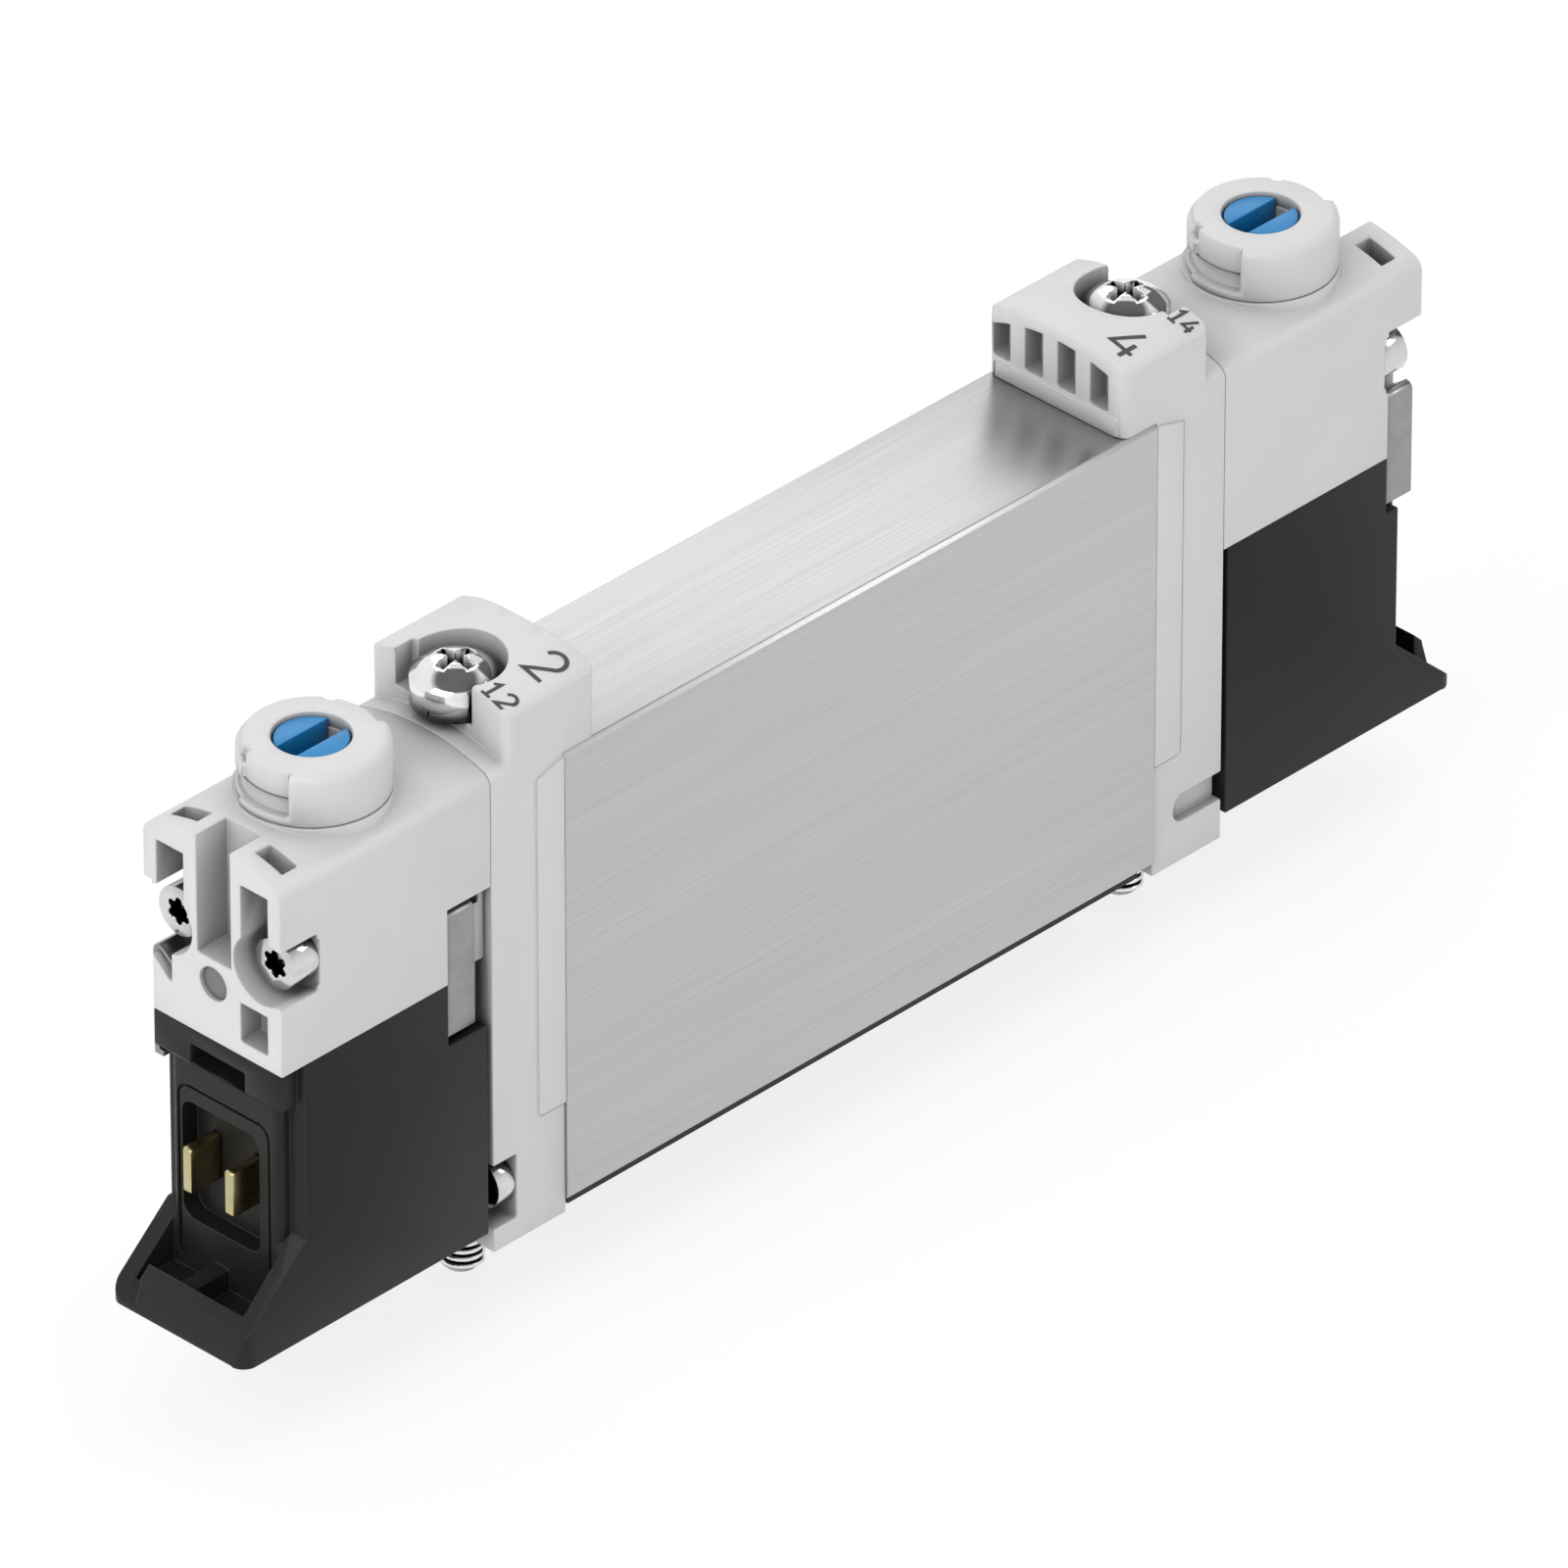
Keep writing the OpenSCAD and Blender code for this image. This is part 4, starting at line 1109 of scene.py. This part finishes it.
@dataclass
class MountingScrew:
    """A pan-head screw whose plain lower end is replaced by a wound thread."""

    end: End
    thread_mm: float = 2.5
    pitch_mm: float = 0.45
    ridge_mm: float = 0.2
    top_mm: float = -0.8
    foot_mm: float = -4.6
    axis_mm: float = 24.45
    # Height above which the head stands higher than in the plain node, and by how much
    head_middle_mm: float = 30.0
    lift_mm: float = 0.3
    # How many ridge heights the bare core lies inside the crest
    core_ridges: float = 1.35
    # Points further out than this from the bare core belong to the plain shank
    shank_clear_mm: float = 0.13
    level_slack_mm: float = 0.01

    def core(self, shop: Workshop) -> bpy.types.Object:
        """Copies the screw and turns its lower end down to the thread's root.

        Args:
            shop: the workshop, which holds the screw's node.

        Returns:
            The copy.
        """
        node = shop.frame["nodes"][self.end.node("mounting_screw")]
        name = self.end.node("threaded_mounting_screw")
        shape = bmesh.new()
        shape.from_mesh(node.data)
        bmesh.ops.remove_doubles(shape, verts=shape.verts, dist=WELD_MM * MM)
        axis = Vector((self.end.side * self.axis_mm * MM, 0))
        root = (self.thread_mm / 2 - self.core_ridges * self.ridge_mm) * MM
        plain = root + self.shank_clear_mm * MM
        thread_top = (self.top_mm + self.level_slack_mm) * MM
        for vert in shape.verts:
            out = vert.co.xy - axis
            if vert.co.z < thread_top and out.length > plain:
                vert.co.xy = axis + out.normalized() * root
            if vert.co.z > self.head_middle_mm * MM:
                vert.co.z += self.lift_mm * MM
        mesh = bpy.data.meshes.new(name)
        shape.to_mesh(mesh)
        shape.free()
        mesh.set_sharp_from_angle(angle=math.radians(SMOOTH_DEG))
        return new_object(name, mesh)

    def build(self, shop: Workshop) -> None:
        """Winds the thread and puts the screw in place of its plain node."""
        piece = self.core(shop)
        wind = piece.modifiers.new("Thread", "NODES")
        wind.node_group = thread_tree()
        length = self.top_mm - self.ridge_mm - self.foot_mm
        sizes = {
            "Crest Radius": self.thread_mm / 2 * MM,
            "Ridge Height": self.ridge_mm * MM,
            "Turns": length / self.pitch_mm,
            "Length": length * MM,
            "Foot": (self.end.side * self.axis_mm * MM, 0.0, self.foot_mm * MM),
            "Finish": shop.material(HEAD_STEEL),
        }
        fill_inputs(wind, sizes)
        plain_mesh(piece)
        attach(piece, "valve_body")
        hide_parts(self.end.node("mounting_screw"))
        LOG.info("threaded %s", piece.name)


@dataclass(frozen=True)
class Mark:
    """One printed number: its digits, its middle in X and Y, and its digits' size in mm."""

    digits: str
    name: str
    middle: tuple[float, float]
    height: float
    width: float
    gap: float = 0.28
    stroke: float = 0.25


@dataclass
class PrintedNumbers:
    """The port and pilot numbers, pad-printed on the crowned label blocks."""

    above_mm: float = 40.0
    ink_mm: float = 0.018
    # Crossing strokes of one digit lie this much above one another
    layer_mm: float = 0.002
    step_mm: float = 0.12
    # A sharp corner is drawn out to the stroke's half width over this at most
    corner_limit: float = 0.45
    strokes: dict[str, list[list[tuple[float, float]]]] = field(default_factory=dict)

    def __post_init__(self) -> None:
        """Draws each figure in a box one wide and one high."""
        bowl = [
            (0.5 + 0.44 * math.cos(a), 0.7 + 0.3 * math.sin(a))
            for a in [math.radians(165 - 15 * i) for i in range(14)]
        ]
        self.strokes = {
            "1": [[(0.15, 0.76), (0.55, 1.0), (0.55, 0.0)], [(0.15, 0.0), (0.95, 0.0)]],
            "2": [bowl + [(0.05, 0.0), (0.95, 0.0)]],
            "4": [[(0.62, 1.0), (0.02, 0.26), (0.98, 0.26)], [(0.74, 0.58), (0.74, 0.0)]],
        }

    def top(self, cover: BVHTree, x: float, y: float) -> float:
        """Finds the height of the label block's surface, in millimetres.

        Args:
            cover: the cover's faces.
            x: place along the valve, in millimetres.
            y: place across it, in millimetres.

        Returns:
            The height of the first face under that place.
        """
        hit = cover.ray_cast(Vector((x, y, self.above_mm)) * MM, Vector((0, 0, -1)))
        return hit[0].z / MM

    def fine_line(self, points: list[tuple[float, float]]) -> list[tuple[float, float]]:
        """Adds points between those given, so that the ink can follow the crown.

        Args:
            points: the corners of a stroke.

        Returns:
            The stroke with a point at least every step.
        """
        line = [points[0]]
        for a, b in zip(points, points[1:]):
            parts = max(1, math.ceil(math.dist(a, b) / self.step_mm))
            for i in range(1, parts + 1):
                line.append((a[0] + (b[0] - a[0]) * i / parts, a[1] + (b[1] - a[1]) * i / parts))
        return line

    def ribbon(
        self, points: list[tuple[float, float]], half: float
    ) -> list[tuple[tuple[float, float], tuple[float, float]]]:
        """Sets a left and a right point beside each point of a stroke.

        Args:
            points: the stroke's middle line, in millimetres.
            half: half the stroke's width.

        Returns:
            Pairs of left and right points.
        """
        pairs = []
        for i, here in enumerate(points):
            before = points[max(i - 1, 0)]
            after = points[min(i + 1, len(points) - 1)]
            into = Vector((here[0] - before[0], here[1] - before[1]))
            out = Vector((after[0] - here[0], after[1] - here[1]))
            into = into.normalized() if into.length else out.normalized()
            out = out.normalized() if out.length else into
            bisector = (into + out).normalized()
            square = Vector((-bisector.y, bisector.x))
            reach = half / max(self.corner_limit, square.dot(Vector((-into.y, into.x))))
            left = Vector(here) + square * reach
            right = Vector(here) - square * reach
            pairs.append((tuple(left), tuple(right)))
        return pairs

    def figure(self, mark: Mark, cover: BVHTree) -> bpy.types.Object:
        """Makes a number on the crown, read with +X up and -Y to the right.

        Args:
            mark: what to print and where.
            cover: the faces of the cover that carries it.

        Returns:
            The number as one thin mesh that follows the crown.
        """
        verts: list[Point] = []
        faces: list[tuple[int, ...]] = []
        full = len(mark.digits) * mark.width + (len(mark.digits) - 1) * mark.gap
        for place, digit in enumerate(mark.digits):
            left = -full / 2 + place * (mark.width + mark.gap)
            for layer, stroke in enumerate(self.strokes[digit]):
                corners = [(left + x * mark.width, (y - 0.5) * mark.height) for x, y in stroke]
                line = self.fine_line(corners)
                start = len(verts)
                for pair in self.ribbon(line, mark.stroke / 2):
                    for across, up in pair:
                        x = mark.middle[0] + up
                        y = mark.middle[1] - across
                        z = self.top(cover, x, y) + self.ink_mm + self.layer_mm * layer
                        verts.append((x * MM, y * MM, z * MM))
                for i in range(len(line) - 1):
                    a = start + 2 * i
                    faces.append((a, a + 1, a + 3, a + 2))
        return mesh_object(mark.name, verts, faces)

    def build(self, shop: Workshop) -> None:
        """Prints the numbers on both label blocks."""
        marks = [
            Mark("2", "outlet_number_2", (-21.4, -3.5), 2.3, 1.4),
            Mark("12", "pilot_number_12", (-24.98, -3.7), 1.18, 0.72, stroke=0.19),
            Mark("4", "outlet_number_4", (21.1, -3.4), 2.25, 1.5),
            Mark("14", "pilot_number_14", (24.82, -3.84), 1.15, 0.62, gap=0.22, stroke=0.18),
        ]
        for mark in marks:
            end = End.FAR if mark.middle[0] > 0 else End.NEAR
            mesh = shop.frame["nodes"][end.node("cover")].data
            verts = [vert.co for vert in mesh.vertices]
            faces = [tuple(face.vertices) for face in mesh.polygons]
            cover = BVHTree.FromPolygons(verts, faces)
            shop.add(self.figure(mark, cover), "valve_body", INK, "seal_rubber")


@dataclass(frozen=True)
class Lamp:
    """A square soft light: where it stands round the valve, its power and its side."""

    name: str
    azimuth_deg: float
    elevation_deg: float
    away_m: float
    watts: float
    side_m: float
    # Whether bright metal shows it
    mirrored: bool = True


LAMPS = (
    # Lights the end faces
    Lamp("end_light", -84, 38, 0.7, 2.4, 0.5),
    # Lights the tops and gives the body's top its sheen
    Lamp("sheen_light", 134, 44, 1.6, 4.9, 1.5),
    # Lights the tops from above, unseen in the screw heads
    Lamp("top_light", 60, 78, 0.9, 1.35, 0.5, mirrored=False),
    # Draws the bright line along the body's bevel
    Lamp("edge_light", 48, 36, 1.0, 0.9, 0.3),
)


@dataclass
class Studio:
    """The pale floor, the lights, the world and the camera."""

    floor_z_mm: float = -5.6
    target_mm: Point = (-5.9, -5.0, 17.93)
    azimuth_deg: float = -45.757
    elevation_deg: float = 33.092
    distance_mm: float = 1198.1
    focal_px: float = 23984.0
    world_light: float = 0.6
    floor_white: float = 0.8
    floor_half_m: float = 3.0
    lamp_aim_mm: float = 15.0
    ceiling_dark: float = 0.85
    # Sines of the elevations where the dark ceiling begins and where it is darkest
    ceiling_begins: float = 0.74
    ceiling_full: float = 0.86
    # The dark wall's middle, half its width, and the width of its soft edge
    wall_azimuth_deg: float = 95.0
    wall_elevation_deg: float = 20.0
    wall_half_deg: float = 29.0
    wall_blur_deg: float = 4.0

    def back(self, azimuth: float, elevation: float) -> Vector:
        """Gives the direction from the object to a viewer or a lamp.

        Args:
            azimuth: degrees round the valve, from the -Y side towards +X.
            elevation: degrees above the floor.

        Returns:
            A vector of length one.
        """
        a = math.radians(azimuth)
        e = math.radians(elevation)
        return Vector((math.sin(a) * math.cos(e), -math.cos(a) * math.cos(e), math.sin(e)))

    def camera(self) -> None:
        """Sets the camera where the photograph was taken from."""
        data = bpy.data.cameras.new("camera")
        data.sensor_width = 36.0
        data.lens = self.focal_px / PICTURE_PX * data.sensor_width
        data.clip_start = 0.05
        data.clip_end = 50.0
        camera = new_object("camera", data)
        back = self.back(self.azimuth_deg, self.elevation_deg)
        camera.location = Vector(self.target_mm) * MM + back * self.distance_mm * MM
        camera.rotation_euler = (-back).to_track_quat("-Z", "Y").to_euler()
        bpy.context.scene.camera = camera

    def hang(self, lamp: Lamp) -> None:
        """Adds a lamp that faces the valve.

        Args:
            lamp: its place, power and size.
        """
        data = bpy.data.lights.new(lamp.name, "AREA")
        data.shape = "SQUARE"
        data.size = lamp.side_m
        data.energy = lamp.watts
        light = new_object(lamp.name, data)
        light.visible_glossy = lamp.mirrored
        back = self.back(lamp.azimuth_deg, lamp.elevation_deg)
        light.location = Vector((0, 0, self.lamp_aim_mm * MM)) + back * lamp.away_m
        light.rotation_euler = back.to_track_quat("Z", "Y").to_euler()

    def shown_directly(self, tree: Tree) -> Socket:
        """Tells what the camera, a reflection or clear plastic shows from what only lights.

        Args:
            tree: the world's or the floor's tree.

        Returns:
            A socket that is 1 for what is shown and 0 for light alone.
        """
        path = add_node(tree, "ShaderNodeLightPath")
        seen = add_node(
            tree,
            "ShaderNodeMath",
            {0: path.outputs["Is Camera Ray"], 1: path.outputs["Is Glossy Ray"]},
            operation="MAXIMUM",
        )
        shown = add_node(
            tree,
            "ShaderNodeMath",
            {0: seen.outputs["Value"], 1: path.outputs["Is Transmission Ray"]},
            operation="MAXIMUM",
        )
        return shown.outputs["Value"]

    def world(self) -> None:
        """Lights the scene evenly, and shows white to the camera and in reflections.

        Reflections find the studio's ceiling and one wall darker than the rest,
        which gives bright metal its contrast.
        """
        world = bpy.data.worlds.new("studio")
        world.use_nodes = True
        tree = world.node_tree
        tree.nodes.clear()
        strength = add_node(
            tree,
            "ShaderNodeMapRange",
            {"Value": self.shown_directly(tree), "To Min": self.world_light, "To Max": 1.0},
        )
        way = add_node(tree, "ShaderNodeTexCoord").outputs["Generated"]
        height = add_node(tree, "ShaderNodeSeparateXYZ", {"Vector": way})
        ceiling = add_node(
            tree,
            "ShaderNodeMapRange",
            {
                "Value": height.outputs["Z"],
                "From Min": self.ceiling_begins,
                "From Max": self.ceiling_full,
                "To Max": self.ceiling_dark,
            },
        )
        nearness = add_node(
            tree,
            "ShaderNodeVectorMath",
            {0: way, 1: self.back(self.wall_azimuth_deg, self.wall_elevation_deg)},
            operation="DOT_PRODUCT",
        )
        wall = add_node(
            tree,
            "ShaderNodeMapRange",
            {
                "Value": nearness.outputs["Value"],
                "From Min": math.cos(math.radians(self.wall_half_deg)),
                "From Max": math.cos(math.radians(self.wall_half_deg - self.wall_blur_deg)),
                "To Max": self.ceiling_dark,
            },
        )
        darkest = add_node(
            tree,
            "ShaderNodeMath",
            {0: ceiling.outputs["Result"], 1: wall.outputs["Result"]},
            operation="MAXIMUM",
        )
        path = add_node(tree, "ShaderNodeLightPath")
        dark = add_node(
            tree,
            "ShaderNodeMath",
            {0: path.outputs["Is Glossy Ray"], 1: darkest.outputs["Value"]},
            operation="MULTIPLY",
        )
        level = add_node(
            tree,
            "ShaderNodeMath",
            {0: strength.outputs["Result"], 1: dark.outputs["Value"]},
            operation="SUBTRACT",
        )
        sky = add_node(
            tree,
            "ShaderNodeBackground",
            {"Color": (1, 1, 1, 1), "Strength": level.outputs["Value"]},
        )
        add_node(tree, "ShaderNodeOutputWorld", {"Surface": sky.outputs["Background"]})
        bpy.context.scene.world = world

    def floor(self) -> None:
        """Lays the plain pale floor below the screw tips."""
        z = self.floor_z_mm * MM
        half = self.floor_half_m
        corners = [(-half, -half, z), (half, -half, z), (half, half, z), (-half, half, z)]
        floor = mesh_object("floor", corners, [(0, 1, 2, 3)])
        material, tree = new_material("pale_floor")
        paint = add_node(
            tree,
            "ShaderNodeBsdfPrincipled",
            {"Base Color": linear("#FBFBFB"), "Roughness": 0.9, "Specular IOR Level": 0.0},
        )
        white = add_node(tree, "ShaderNodeEmission", {"Color": (1, 1, 1, 1), "Strength": 1.0})
        share = add_node(
            tree,
            "ShaderNodeMath",
            {0: self.shown_directly(tree), 1: self.floor_white},
            operation="MULTIPLY",
        )
        shown = add_node(
            tree,
            "ShaderNodeMixShader",
            {0: share.outputs["Value"], 1: paint.outputs["BSDF"], 2: white.outputs["Emission"]},
        )
        add_node(tree, "ShaderNodeOutputMaterial", {"Surface": shown.outputs["Shader"]})
        floor.data.materials.append(material)

    def build(self) -> None:
        """Sets up the whole studio."""
        self.camera()
        self.world()
        self.floor()
        for lamp in LAMPS:
            self.hang(lamp)
        bpy.context.scene.view_settings.view_transform = "Standard"
        LOG.info("set up the studio")


def main() -> None:
    """Builds the studio and dresses the valve."""
    logging.basicConfig(level=logging.INFO, format="%(name)s: %(message)s")
    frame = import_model()
    shop = Workshop(frame)
    Studio().build()
    ValveBody().build(shop)
    for end in End:
        EndUnit(end).build(shop)
    PrintedNumbers().build(shop)


if __name__ == "__main__":
    main()
